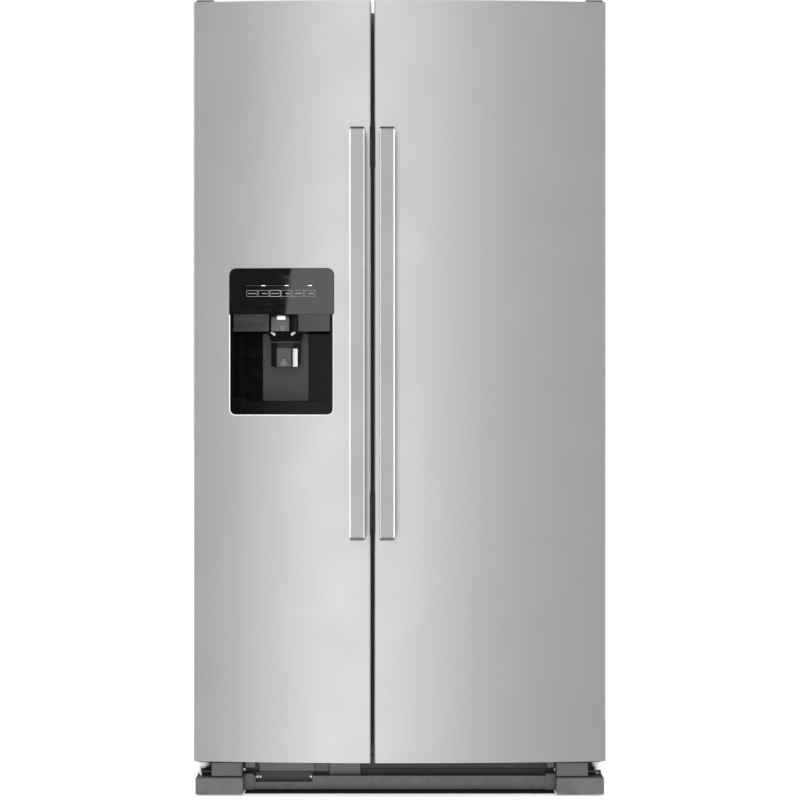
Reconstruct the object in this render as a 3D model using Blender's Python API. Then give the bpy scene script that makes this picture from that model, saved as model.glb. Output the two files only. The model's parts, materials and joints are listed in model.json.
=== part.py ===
"""Side-by-side refrigerator with a through-the-door ice and water dispenser.

Frame: metres, +Z up, -Y towards the user, +X to the user's right. The origin is at the bottom
centre of the whole object's box. Pieces are drawn in that frame, apart from those of the
dispenser, which are drawn in the dispenser's own frame and turned with it.
"""

import math

import bmesh
import bpy
from mathutils import Matrix, Vector

# ---- Clearances --------------------------------------------------------------------------------
GAP = 0.0003  # between pieces that touch
RUN = 0.0012  # between a moving piece and its guide
LAP = 0.001  # how far shapes joined by a union reach into each other
PAST = 0.02  # how far a cutter reaches past what it cuts

# ---- Cabinet -----------------------------------------------------------------------------------
CABINET_WIDTH = 0.900
CABINET_TOP = 1.741
BODY_DEPTH = 0.700
SHELL_BOTTOM = 0.045
SHEET = 0.002
PANEL_SHEET = 0.003
FREEZER_SIDE_WALL = 0.058
FRIDGE_SIDE_WALL = 0.050
MULLION = 0.055
TOP_WALL = 0.055
BACK_WALL = 0.077
LINER = 0.0025
INNER_FLOOR = 0.150
MACHINE_DEPTH = 0.277
MACHINE_TOP = 0.270
STEP_WALL = 0.050

# ---- Doors -------------------------------------------------------------------------------------
DOOR_OVERHANG = 0.0035  # how far the doors reach past the cabinet's sides
FREEZER_DOOR_WIDTH = 0.3899
DOOR_GAP = 0.008
DOOR_BOTTOM = 0.0775
DOOR_RISE = 0.006  # how far the doors reach above the cabinet
SEAL_GAP = 0.012  # from the door's back to the cabinet's front
DOOR_EDGE = 0.062  # thickness of a door at the cabinet's side
CROWN = 0.020  # how far both doors' common front bulges at the middle
FREE_EDGE = 0.006  # solid edge of the skin beside the gap
EDGE_RADIUS = 0.003
SCALLOP_DEPTH = 0.002
SCALLOP_HEIGHT = 0.092
SCALLOP_CORNER = 0.0018
SCALLOP_ABOVE = (0.010, 0.009)  # past the handle's top, and above its foot
GASKET_WIDTH = 0.014
GASKET_HINGE_INSET = 0.019
GASKET_FREE_INSET = 0.0046
GASKET_TOP_INSET = 0.023
GASKET_BOTTOM_INSET = 0.048
DYKE_CLEARANCE = 0.012  # from a door liner's raised rim to the compartment's wall
DYKE_WIDTH = 0.016
DYKE_HEIGHT = 0.042
BIN_DEPTH = 0.095
BIN_HEIGHT = 0.110
BIN_WALL = 0.003
FREEZER_BIN_FLOOR = 0.560
FRIDGE_BIN_FLOOR = 0.700
FRIDGE_BIN_RISE = 0.400  # from one fridge door bin to the next

# ---- Handles -----------------------------------------------------------------------------------
HANDLE_WIDTH = 0.0337
HANDLE_BOTTOM = 0.569
HANDLE_DROP = 0.2853  # from the doors' top to the handles' top
HANDLE_STANDOFF = 0.060  # from the doors' crown to the handle's front
HANDLE_THICKNESS = 0.013
HANDLE_LEG = 0.030
HANDLE_CORNER = 0.009
HANDLE_INSET = 0.0114  # from the door's free edge to the freezer handle's side
HANDLE_CHAMFER = 0.0031

# ---- Hinges ------------------------------------------------------------------------------------
HINGE_SIDE = 0.018  # from the door's side to the pin
HINGE_BACK = 0.020  # from the door's back to the pin
ARM_HALF = 0.0135  # half the upper hinge arm's width
ARM_NOSE = 0.016  # how far the arm reaches past the pin
ARM_REACH = 0.110  # how far the arm reaches over the cabinet
COVER_WALL = 0.0025
COVER_FRONT = 0.022  # from the pin to the cover's front
COVER_RISE = 0.022  # the cover's height
COVER_NOSE = 0.008  # its height at the front
COVER_ROOF = 0.004
PIN_RADIUS = 0.005
PIN_REACH = 0.022  # how far a pin stands in the door
BRACKET = 0.004
CAM_RADIUS = 0.0085

# ---- Dispenser, in its own frame: X across, Y into the door, Z up from the alcove's sill ---------
DISPENSER_OFFSET = 0.1942  # from the freezer door's outer edge to the dispenser's centre
DISPENSER_SILL = 0.868
DISPENSER_PROUD = 0.0015
PANEL_WIDTH = 0.230
PANEL_HEIGHT = 0.1003
PANEL_THICKNESS = 0.012
BEZEL_WIDTH = 0.226
ALCOVE_WIDTH = 0.214
ALCOVE_HEIGHT = 0.189
ALCOVE_DEPTH = 0.085
SILL_HEIGHT = 0.028
BEZEL_WALL = 0.003
TOP_CORNER = 0.015
LOW_CORNER = 0.012
KEY_WIDTH = 0.0236
KEY_HEIGHT = 0.0138
KEY_DEPTH = 0.003
KEY_PITCH = 0.0255
KEY_COUNT = 6
KEY_CENTRE_X = -0.0010
KEY_CENTRE_Z = 0.2384
KEY_TRAVEL = 0.0008
WATER_PAD = (-0.026, 0.014, 0.1560, 0.1885)  # left, right, bottom, top
ICE_PAD = (-0.016, 0.016, 0.0780, 0.1200)
WATER_PAD_Y = 0.026
ICE_PAD_Y = 0.047
PAD_THICKNESS = 0.004
LINER_BULGE_DEPTH = 0.060

# ---- Shelves, drawers and inner parts ------------------------------------------------------------
SHELF_THICKNESS = 0.006
SHELF_LIP = 0.022
SHELF_FRONT = 0.125  # from the cabinet's front to a shelf's front edge
SHELF_SIDE = 0.004
FRIDGE_SHELF_DROPS = (0.300, 0.620)  # below the ceiling
CRISPER_COVER_TOP = 0.585
DRAWER_WALL = 0.003
DRAWER_SIDE = 0.016
DRAWER_FRONT = 0.168  # from the cabinet's front to the drawers' fronts
LOWER_DRAWER_HEIGHT = 0.160
UPPER_DRAWER_HEIGHT = 0.215
LOWER_DRAWER_DEPTH = 0.190
BASKET_HEIGHT = 0.165
RUNNER = 0.009
FREEZER_SHELF_DROP = 0.450
ICE_BIN_HEIGHT = 0.170
ICE_BIN_FRONT = 0.080
ICE_BIN_SIDE = 0.022
ICE_MAKER_SIZE = (0.230, 0.130, 0.115)
EVAPORATOR_COVER_GAP = 0.085  # from the compartment's back to the cover
EVAPORATOR_COVER = 0.004

# ---- Base and machine compartment ----------------------------------------------------------------
FRAME_SHEET = 0.003
FRAME_TOP = 0.080
FLANGE_BOTTOM = 0.046
TRAY_BOTTOM = 0.048
FOOT_INSET_X = 0.062
FOOT_INSET_Y = 0.036
FOOT_RADIUS = 0.018
STUD_RADIUS = 0.005
ROLLER_RADIUS = 0.022
ROLLER_WIDTH = 0.018
ROLLER_INSET_X = 0.036
ROLLER_INSET_Y = 0.070
AXLE_RADIUS = 0.004
CHEEK = 0.003
FOOT_COVER_WIDTH = 0.1045
FOOT_COVER_HEIGHT = 0.0368
FOOT_COVER_FLOOR = 0.003
GRILLE_HEIGHT = 0.0300
GRILLE_FLOOR = 0.0046
GRILLE_STEP = 0.020
GRILLE_STEP_TOP = 0.0400
GRILLE_SETBACK = 0.015  # from the doors' backs forward to the grille's front
NOTCH = (-0.3215, 0.127, 0.0211)  # left end, length and floor of the notch over the left screws
UNDERCUT_HALF = 0.300
UNDERCUT_TOP = 0.0190
COMPRESSOR_RADIUS = 0.078
COMPRESSOR_HEIGHT = 0.165
COIL_TUBE = 0.004
FAN_RADIUS = 0.075
FAN_BLADES = 5

# ---- Places worked out from the sizes above --------------------------------------------------------
HALF = CABINET_WIDTH / 2
DOOR_HALF = HALF + DOOR_OVERHANG
DEPTH = BODY_DEPTH + SEAL_GAP + DOOR_EDGE + CROWN + HANDLE_STANDOFF
BACK_Y = DEPTH / 2
FRONT_Y = BACK_Y - BODY_DEPTH
SHELL_BACK = BACK_Y - PANEL_SHEET - GAP
DOOR_BACK = FRONT_Y - SEAL_GAP
DOOR_TOP = CABINET_TOP + DOOR_RISE
SPLIT_X = -DOOR_HALF + FREEZER_DOOR_WIDTH + DOOR_GAP / 2
HANDLE_TOP = DOOR_TOP - HANDLE_DROP
CROWN_Y = DOOR_BACK - DOOR_EDGE - CROWN
CROWN_RADIUS = (DOOR_HALF**2 + CROWN**2) / (2 * CROWN)
FREEZER_X = (-HALF + FREEZER_SIDE_WALL, SPLIT_X - MULLION / 2)
FRIDGE_X = (SPLIT_X + MULLION / 2, HALF - FRIDGE_SIDE_WALL)
CEILING = CABINET_TOP - TOP_WALL
INNER_BACK = BACK_Y - BACK_WALL
MACHINE_FRONT = BACK_Y - MACHINE_DEPTH
STEP_FRONT = MACHINE_FRONT - STEP_WALL
STEP_FLOOR = MACHINE_TOP + STEP_WALL
HINGE_X = DOOR_HALF - HINGE_SIDE
HINGE_Y = DOOR_BACK - HINGE_BACK
TRAY_TOP = TRAY_BOTTOM + FRAME_SHEET
LINER_BACK = DOOR_BACK + GAP + LINER  # the face of a door liner that looks into the cabinet


def crown_y(x):
    """Y of the doors' common front at x: one shallow arc across both doors."""
    return CROWN_Y + CROWN_RADIUS - math.sqrt(CROWN_RADIUS**2 - x**2)


DISPENSER_X = -DOOR_HALF + DISPENSER_OFFSET
DISPENSER_TURN = math.asin(DISPENSER_X / CROWN_RADIUS)
DISPENSER_AT = (DISPENSER_X, crown_y(DISPENSER_X) - DISPENSER_PROUD, DISPENSER_SILL)


# ---- Shapes ------------------------------------------------------------------------------------
def block(x0, x1, y0, y1, z0, z1):
    bm = bmesh.new()
    bmesh.ops.create_cube(bm, size=1.0)
    bmesh.ops.scale(bm, vec=(x1 - x0, y1 - y0, z1 - z0), verts=bm.verts)
    bmesh.ops.translate(bm, vec=((x0 + x1) / 2, (y0 + y1) / 2, (z0 + z1) / 2), verts=bm.verts)
    return bm


def hollow(bm, direction, wall, floor):
    """Opens the face that looks in this direction and sinks it, leaving walls and a floor."""
    face = max(bm.faces, key=lambda f: f.normal.dot(Vector(direction)))
    spread = [vert.co.dot(Vector(direction)) for vert in bm.verts]
    bmesh.ops.inset_region(bm, faces=[face], thickness=wall, use_even_offset=True)
    sunk = bmesh.ops.extrude_discrete_faces(bm, faces=[face])["faces"][0]
    depth = max(spread) - min(spread) - floor
    bmesh.ops.translate(bm, vec=-Vector(direction) * depth, verts=sunk.verts)
    return bm


def rectangle(x0, x1, z0, z1):
    return [(x0, z0), (x1, z0), (x1, z1), (x0, z1)]


def rounded(points, radii, steps=4):
    """The outline with corners turned into arcs. radii holds one radius for each corner."""
    outline = []
    for index, radius in enumerate(radii):
        corner = Vector(points[index])
        if radius == 0:
            outline.append(tuple(corner))
            continue
        before = (Vector(points[index - 1]) - corner).normalized()
        after = (Vector(points[(index + 1) % len(points)]) - corner).normalized()
        half = before.angle(after) / 2
        centre = corner + (before + after).normalized() * (radius / math.sin(half))
        start = corner + before * (radius / math.tan(half)) - centre
        end = corner + after * (radius / math.tan(half)) - centre
        sweep = math.copysign(math.pi - 2 * half, start.x * end.y - start.y * end.x)
        for step in range(steps + 1):
            spoke = start.copy()
            spoke.rotate(Matrix.Rotation(sweep * step / steps, 2))
            outline.append(tuple(centre + spoke))
    return outline


def prism(outline, axis, low, high):
    """The outline, drawn across the axis, carried along it from low to high."""
    place = {
        "X": lambda u, v, w: (w, u, v),
        "Y": lambda u, v, w: (u, w, v),
        "Z": lambda u, v, w: (u, v, w),
    }[axis]
    bm = bmesh.new()
    ends = [[bm.verts.new(place(u, v, w)) for u, v in outline] for w in (low, high)]
    bm.faces.new(ends[0])
    bm.faces.new(ends[1])
    for index in range(len(outline)):
        follows = (index + 1) % len(outline)
        bm.faces.new((ends[0][index], ends[0][follows], ends[1][follows], ends[1][index]))
    bmesh.ops.recalc_face_normals(bm, faces=bm.faces)
    return bm


def border(x0, x1, z0, z1, width, y0, y1):
    """A rectangular ring of this width around the edge of the rectangle."""
    outer = rectangle(x0, x1, z0, z1)
    inner = rectangle(x0 + width, x1 - width, z0 + width, z1 - width)
    bm = bmesh.new()
    loops = [[bm.verts.new((x, y, z)) for x, z in loop] for y in (y0, y1) for loop in (outer, inner)]
    for first, second in ((0, 1), (1, 3), (3, 2), (2, 0)):
        for index in range(4):
            follows = (index + 1) % 4
            bm.faces.new(
                (loops[first][index], loops[first][follows], loops[second][follows], loops[second][index])
            )
    bmesh.ops.recalc_face_normals(bm, faces=bm.faces)
    return bm


def turned(profile, steps=24, ring=False):
    """A profile of (radius, z) turned about Z. A ring's profile closes on itself off the axis."""
    bm = bmesh.new()
    rows = []
    for radius, z in profile:
        count = steps if radius > 0 else 1
        angles = [2 * math.pi * step / steps for step in range(count)]
        rows.append([bm.verts.new((radius * math.cos(a), radius * math.sin(a), z)) for a in angles])
    pairs = list(zip(rows, rows[1:]))
    if ring:
        pairs.append((rows[-1], rows[0]))
    for low, high in pairs:
        for step in range(steps):
            corners = [low[step % len(low)], low[(step + 1) % len(low)]]
            corners += [high[(step + 1) % len(high)], high[step % len(high)]]
            bm.faces.new(dict.fromkeys(corners))
    bmesh.ops.recalc_face_normals(bm, faces=bm.faces)
    return bm


def rod(radius, centre, axis, low, high, steps=20):
    """A round rod along an axis; centre gives its two other coordinates in XYZ order."""
    bm = turned([(0, low), (radius, low), (radius, high), (0, high)], steps)
    turn = {
        "X": Matrix.Rotation(math.pi / 2, 4, "Y"),
        "Y": Matrix.Rotation(-math.pi / 2, 4, "X"),
        "Z": Matrix.Identity(4),
    }[axis]
    bmesh.ops.transform(bm, matrix=turn, verts=bm.verts)
    offset = list(centre)
    offset.insert("XYZ".index(axis), 0)
    bmesh.ops.translate(bm, vec=offset, verts=bm.verts)
    return bm


def moved(bm, offset):
    bmesh.ops.translate(bm, vec=offset, verts=bm.verts)
    return bm


# ---- Objects -----------------------------------------------------------------------------------
def material(name, colour, roughness, metallic=0.0):
    made = bpy.data.materials.new(name)
    made.use_nodes = True
    shader = made.node_tree.nodes["Principled BSDF"]
    shader.inputs["Base Color"].default_value = (*colour, 1)
    shader.inputs["Roughness"].default_value = roughness
    shader.inputs["Metallic"].default_value = metallic
    made.diffuse_color = (*colour, 1)
    return made


def body(name, parent=None, at=(0, 0, 0), turn=0.0, own_frame=False):
    """An empty that carries the pieces of one body. Its pieces are drawn in the object's frame."""
    empty = bpy.data.objects.new(name, None)
    bpy.context.scene.collection.objects.link(empty)
    empty.location = at if parent is None else Vector(at) - parent.location
    empty.rotation_euler.z = turn
    empty.parent = parent
    empty["drawn_from"] = (0, 0, 0) if own_frame else tuple(at)
    return empty


def place(name, bm, parent, origin):
    """The shape as an object whose own origin is at the point given."""
    bmesh.ops.translate(bm, vec=-Vector(origin), verts=bm.verts)
    mesh = bpy.data.meshes.new(name)
    bm.to_mesh(mesh)
    bm.free()
    obj = bpy.data.objects.new(name, mesh)
    bpy.context.scene.collection.objects.link(obj)
    obj.parent = parent
    obj.location = Vector(origin) - Vector(parent["drawn_from"])
    return obj


def piece(name, bm, look, parent, origin=None, smooth=False):
    obj = place(name, bm, parent, parent["drawn_from"] if origin is None else origin)
    obj.data.materials.append(look)
    if smooth:
        obj.data.shade_smooth()
        obj.data.set_sharp_from_angle(angle=math.radians(40))
    return obj


def boolean(obj, operation, shapes, frame=None):
    for shape in shapes:
        helper = place(f"{obj.name}_{operation.lower()}", shape, frame or obj.parent, (0, 0, 0))
        helper.location = -Vector((frame or obj.parent)["drawn_from"])
        helper.hide_render = True
        helper.display_type = "WIRE"
        modifier = obj.modifiers.new(operation.title(), "BOOLEAN")
        modifier.operation = operation
        modifier.solver = "EXACT"
        modifier.object = helper
    return obj


def cut(obj, *shapes, frame=None):
    return boolean(obj, "DIFFERENCE", shapes, frame)


def join(obj, *shapes):
    return boolean(obj, "UNION", shapes)


def soften(obj, width, segments=2, angle=50):
    modifier = obj.modifiers.new("Bevel", "BEVEL")
    modifier.width = width
    modifier.segments = segments
    modifier.limit_method = "ANGLE"
    modifier.angle_limit = math.radians(angle)
    return obj


def tube(name, points, radius, look, parent):
    """A round tube along the points, closed at both ends."""
    curve = bpy.data.curves.new(name, "CURVE")
    curve.dimensions = "3D"
    curve.bevel_depth = radius
    curve.bevel_resolution = 1
    curve.use_fill_caps = True
    spline = curve.splines.new("POLY")
    spline.points.add(len(points) - 1)
    for point, spot in zip(spline.points, points):
        point.co = (*spot, 1)
    obj = bpy.data.objects.new(name, curve)
    bpy.context.scene.collection.objects.link(obj)
    obj.parent = parent
    curve.materials.append(look)
    return obj


def winding(x0, x1, z0, z1, rows, y, arc_steps=6):
    """Points of a flat winding tube: level runs joined by half-circle bends."""
    pitch = (z1 - z0) / (rows - 1)
    points = []
    for row in range(rows):
        ends = (x0, x1) if row % 2 == 0 else (x1, x0)
        z = z0 + pitch * row
        points += [(ends[0], y, z), (ends[1], y, z)]
        if row == rows - 1:
            break
        side = 1 if row % 2 == 0 else -1
        for step in range(1, arc_steps):
            angle = -math.pi / 2 + math.pi * step / arc_steps
            reach = side * math.cos(angle) * pitch / 2
            points.append((ends[1] + reach, y, z + pitch / 2 + math.sin(angle) * pitch / 2))
    return points


# ---- Cabinet -----------------------------------------------------------------------------------
def liner_block(sides, grow):
    """The compartment's stepped inside, larger by grow everywhere but at the open front."""
    outline = [
        (FRONT_Y, INNER_FLOOR - grow),
        (STEP_FRONT + grow, INNER_FLOOR - grow),
        (STEP_FRONT + grow, STEP_FLOOR - grow),
        (INNER_BACK + grow, STEP_FLOOR - grow),
        (INNER_BACK + grow, CEILING + grow),
        (FRONT_Y, CEILING + grow),
    ]
    return prism(outline, "X", sides[0] - grow, sides[1] + grow)


def liner_opening(sides, grow, front, back):
    return block(
        sides[0] - grow, sides[1] + grow, front, back, INNER_FLOOR - grow, CEILING + grow
    )


def make_liner(name, sides, runner_tops, looks, cabinet):
    liner = piece(name, liner_block(sides, LINER), looks["liner"], cabinet)
    inside = liner_block(sides, 0)
    for vert in inside.verts:
        if vert.co.y < FRONT_Y + LAP:
            vert.co.y -= PAST
    cut(liner, inside)
    for top in runner_tops:
        for side, inward in ((sides[0], 1), (sides[1], -1)):
            ends = sorted((side - inward * LINER / 2, side + inward * RUNNER))
            join(
                liner,
                block(*ends, FRONT_Y + DRAWER_FRONT, INNER_BACK - 0.03, top - RUNNER, top),
            )
    return liner


def make_cabinet(looks, cabinet):
    shell = piece(
        "cabinet_shell",
        block(-HALF, HALF, FRONT_Y, SHELL_BACK, SHELL_BOTTOM, CABINET_TOP),
        looks["cabinet"],
        cabinet,
    )
    inner = HALF - SHEET
    cut(
        shell,
        block(-inner, inner, FRONT_Y + SHEET, SHELL_BACK + PAST, -PAST, CABINET_TOP - SHEET),
        block(-inner, inner, FRONT_Y - PAST, FRONT_Y + PAST, -PAST, FRAME_TOP),
        liner_opening(FREEZER_X, LINER + GAP, FRONT_Y - PAST, FRONT_Y + PAST),
        liner_opening(FRIDGE_X, LINER + GAP, FRONT_Y - PAST, FRONT_Y + PAST),
    )
    foam_side = inner - GAP
    foam = piece(
        "cabinet_foam",
        block(
            -foam_side,
            foam_side,
            FRONT_Y + SHEET + GAP,
            SHELL_BACK,
            FRAME_TOP + GAP,
            CABINET_TOP - SHEET - GAP,
        ),
        looks["foam"],
        cabinet,
    )
    cut(
        foam,
        block(-HALF, HALF, MACHINE_FRONT, BACK_Y + PAST, 0, MACHINE_TOP),
    )
    for sides in (FREEZER_X, FRIDGE_X):
        space = liner_block(sides, LINER + GAP)
        for vert in space.verts:
            if vert.co.y < FRONT_Y + LAP:
                vert.co.y -= PAST
        cut(foam, space)
    make_liner("freezer_liner", FREEZER_X, (), looks, cabinet)
    make_liner("fridge_liner", FRIDGE_X, (CRISPER_COVER_TOP - SHELF_THICKNESS - GAP,), looks, cabinet)
    piece(
        "back_panel",
        block(
            -inner, inner, BACK_Y - PANEL_SHEET, BACK_Y, MACHINE_TOP + GAP, CABINET_TOP - SHEET
        ),
        looks["cabinet"],
        cabinet,
    )


def make_upper_hinge(name, cover_name, side, looks, cabinet):
    """side is -1 for the left door and 1 for the right one."""
    low = DOOR_TOP + RUN
    x = side * HINGE_X
    bracket = piece(
        name,
        block(
            x - ARM_HALF,
            x + ARM_HALF,
            HINGE_Y - ARM_NOSE,
            FRONT_Y + ARM_REACH,
            low,
            low + BRACKET,
        ),
        looks["steel"],
        cabinet,
        (x, HINGE_Y, low),
    )
    join(
        bracket,
        block(
            x - ARM_HALF + LAP,
            x + ARM_HALF - LAP,
            FRONT_Y + RUN,
            FRONT_Y + ARM_REACH - 2 * LAP,
            CABINET_TOP + GAP,
            low + LAP,
        ),
        rod(PIN_RADIUS, (x, HINGE_Y), "Z", DOOR_TOP - PIN_REACH, low + LAP),
    )
    rim = ARM_HALF + 2 * RUN
    left, right = x - rim - COVER_WALL, x + rim + COVER_WALL
    if side > 0:
        right = min(right, HALF)
    else:
        left = max(left, -HALF)
    front, back = HINGE_Y - COVER_FRONT, FRONT_Y + ARM_REACH + 2 * COVER_WALL
    top = low + COVER_RISE
    outline = [
        (front, low),
        (FRONT_Y + RUN, low),
        (FRONT_Y + RUN, CABINET_TOP + GAP),
        (back, CABINET_TOP + GAP),
        (back, top),
        (FRONT_Y, top),
        (front, low + COVER_NOSE),
    ]
    cover = piece(cover_name, prism(outline, "X", left, right), looks["cover"], cabinet)
    soften(cover, 0.0015, 1)
    space = [
        (front + COVER_WALL, CABINET_TOP - PAST),
        (back - COVER_WALL, CABINET_TOP - PAST),
        (back - COVER_WALL, top - COVER_ROOF),
        (FRONT_Y, top - COVER_ROOF),
        (front + COVER_WALL, low + BRACKET + RUN),
    ]
    cut(cover, prism(space, "X", x - ARM_HALF - GAP, x + ARM_HALF + GAP))


def make_lower_hinge(name, side, looks, cabinet):
    x = side * HINGE_X
    plate_ends = sorted((side * (HALF - SHEET - 2 * GAP), side * (HALF - 0.1035)))
    arm_ends = sorted((side * (HALF - 0.004), side * (HINGE_X - 0.020)))
    plate_y = FRONT_Y + SHEET + GAP
    bracket = piece(
        name,
        block(*plate_ends, FRONT_Y - BRACKET / 2, plate_y, FLANGE_BOTTOM, DOOR_BOTTOM - RUN),
        looks["steel"],
        cabinet,
        (x, HINGE_Y, FLANGE_BOTTOM),
    )
    top = FLANGE_BOTTOM + BRACKET
    cam = [
        (0, top - LAP),
        (CAM_RADIUS * 0.55, top - LAP),
        (CAM_RADIUS * 0.62, top + 0.010),
        (CAM_RADIUS, DOOR_BOTTOM - 0.008),
        (CAM_RADIUS, DOOR_BOTTOM - RUN),
        (PIN_RADIUS, DOOR_BOTTOM - RUN),
        (PIN_RADIUS, DOOR_BOTTOM + PIN_REACH),
        (0, DOOR_BOTTOM + PIN_REACH),
    ]
    join(
        bracket,
        block(*arm_ends, HINGE_Y - 0.014, plate_y - LAP, FLANGE_BOTTOM + GAP, top),
        moved(turned(cam, 20), (x, HINGE_Y, 0)),
    )


# ---- Base --------------------------------------------------------------------------------------
def make_base(looks, cabinet):
    wide = HALF - SHEET - GAP
    front = FRONT_Y + SHEET + 2 * GAP
    rear = SHELL_BACK - GAP
    step = MACHINE_FRONT - GAP
    outline = [
        (front, FLANGE_BOTTOM),
        (front + FRAME_SHEET, FLANGE_BOTTOM),
        (front + FRAME_SHEET, FRAME_TOP - FRAME_SHEET),
        (step - FRAME_SHEET, FRAME_TOP - FRAME_SHEET),
        (step - FRAME_SHEET, TRAY_BOTTOM),
        (rear, TRAY_BOTTOM),
        (rear, TRAY_TOP),
        (step, TRAY_TOP),
        (step, FRAME_TOP),
        (front, FRAME_TOP),
    ]
    frame = piece("base_frame", prism(outline, "X", -wide, wide), looks["frame"], cabinet)
    foot_x, foot_y = HALF - FOOT_INSET_X, FRONT_Y + FOOT_INSET_Y
    roller_x, roller_y = HALF - ROLLER_INSET_X, BACK_Y - ROLLER_INSET_Y
    cheek_offset = ROLLER_WIDTH / 2 + RUN
    for side in (-1, 1):
        ends = sorted((side * (wide - LAP), side * (wide - LAP - FRAME_SHEET)))
        join(frame, block(*ends, front + LAP, rear - LAP, 0.030, FRAME_TOP - LAP))
        cut(
            frame,
            block(
                side * roller_x - cheek_offset,
                side * roller_x + cheek_offset,
                roller_y - ROLLER_RADIUS - 0.003,
                roller_y + ROLLER_RADIUS + 0.003,
                TRAY_BOTTOM - PAST,
                TRAY_TOP + PAST,
            ),
        )
        for cheek in (-1, 1):
            reach = sorted(
                side * roller_x + cheek * offset for offset in (cheek_offset, cheek_offset + CHEEK)
            )
            join(
                frame,
                block(*reach, roller_y - 0.016, roller_y + 0.016, 0.012, TRAY_TOP - LAP),
            )
        join(
            frame,
            rod(
                AXLE_RADIUS,
                (roller_y, ROLLER_RADIUS),
                "X",
                side * roller_x - cheek_offset - CHEEK / 2,
                side * roller_x + cheek_offset + CHEEK / 2,
            ),
            block(
                side * foot_x - 0.014,
                side * foot_x + 0.014,
                foot_y - 0.014,
                foot_y + 0.014,
                0.040,
                FRAME_TOP - LAP,
            ),
        )
        cut(frame, rod(STUD_RADIUS + GAP, (side * foot_x, foot_y), "Z", 0, FRAME_TOP - 0.006))

    for name, side in (("levelling_foot_left", -1), ("levelling_foot_right", 1)):
        profile = [
            (0, 0),
            (FOOT_RADIUS, 0),
            (FOOT_RADIUS, 0.004),
            (FOOT_RADIUS * 0.7, 0.008),
            (STUD_RADIUS * 1.7, 0.009),
            (STUD_RADIUS * 1.7, 0.016),
            (STUD_RADIUS, 0.017),
            (STUD_RADIUS, FRAME_TOP - 0.010),
            (0, FRAME_TOP - 0.010),
        ]
        at = (side * foot_x, foot_y, 0)
        piece(name, moved(turned(profile, 20), at), looks["rubber"], cabinet, at, smooth=True)

    for name, side in (("rear_roller_left", -1), ("rear_roller_right", 1)):
        half = ROLLER_WIDTH / 2
        profile = [
            (AXLE_RADIUS + GAP, -half),
            (ROLLER_RADIUS - 0.002, -half),
            (ROLLER_RADIUS, -half + 0.002),
            (ROLLER_RADIUS, half - 0.002),
            (ROLLER_RADIUS - 0.002, half),
            (AXLE_RADIUS + GAP, half),
        ]
        wheel = turned(profile, 32, ring=True)
        bmesh.ops.transform(wheel, matrix=Matrix.Rotation(math.pi / 2, 4, "Y"), verts=wheel.verts)
        at = (side * roller_x, roller_y, ROLLER_RADIUS)
        piece(name, moved(wheel, at), looks["rubber"], cabinet, at, smooth=True)

    make_front_trim(looks, cabinet)


def make_front_trim(looks, cabinet):
    """The plastic bar along the bottom of the front, and the block over each levelling foot."""
    back = FRONT_Y + SHEET + GAP
    cover_front = DOOR_BACK - DOOR_EDGE + 0.002
    cover_inner = HALF - FOOT_COVER_WIDTH
    for name, side in (("foot_cover_left", -1), ("foot_cover_right", 1)):
        ends = sorted((side * HALF, side * cover_inner))
        cover = block(
            *ends, cover_front, back, FOOT_COVER_FLOOR, FOOT_COVER_FLOOR + FOOT_COVER_HEIGHT
        )
        hollow(cover, (0, 1, 0), 0.004, 0.005)
        soften(piece(name, cover, looks["trim"], cabinet), 0.0015, 1)
    grille_front = DOOR_BACK - GRILLE_SETBACK
    grille_half = cover_inner - GAP
    grille = piece(
        "base_grille",
        block(
            -grille_half, grille_half, grille_front, back, GRILLE_FLOOR, GRILLE_FLOOR + GRILLE_HEIGHT
        ),
        looks["trim"],
        cabinet,
    )
    for side in (-1, 1):
        ends = sorted((side * grille_half, side * (grille_half - GRILLE_STEP)))
        join(grille, block(*ends, grille_front - 0.004, back - LAP, GRILLE_FLOOR - 0.002, GRILLE_STEP_TOP))
    left, length, floor = NOTCH
    cut(
        grille,
        block(left, left + length, grille_front - PAST, back + PAST, floor, GRILLE_FLOOR + PAST * 2),
        block(-UNDERCUT_HALF, UNDERCUT_HALF, grille_front + 0.004, back + PAST, -PAST, UNDERCUT_TOP),
    )


# ---- Machine compartment -------------------------------------------------------------------------
def fan_shape(centre):
    """A hub with pitched blades, turning about Y."""
    bm = rod(0.018, (centre[0], centre[2]), "Y", centre[1] - 0.009, centre[1] + 0.009)
    blades = []
    for index in range(FAN_BLADES):
        blade = block(0.014, FAN_RADIUS, -0.0012, 0.0012, -0.018, 0.018)
        pitch = Matrix.Rotation(math.radians(24), 4, "X")
        spoke = Matrix.Rotation(2 * math.pi * index / FAN_BLADES, 4, "Y")
        bmesh.ops.transform(blade, matrix=Matrix.Translation(centre) @ spoke @ pitch, verts=blade.verts)
        blades.append(blade)
    return bm, blades


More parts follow.
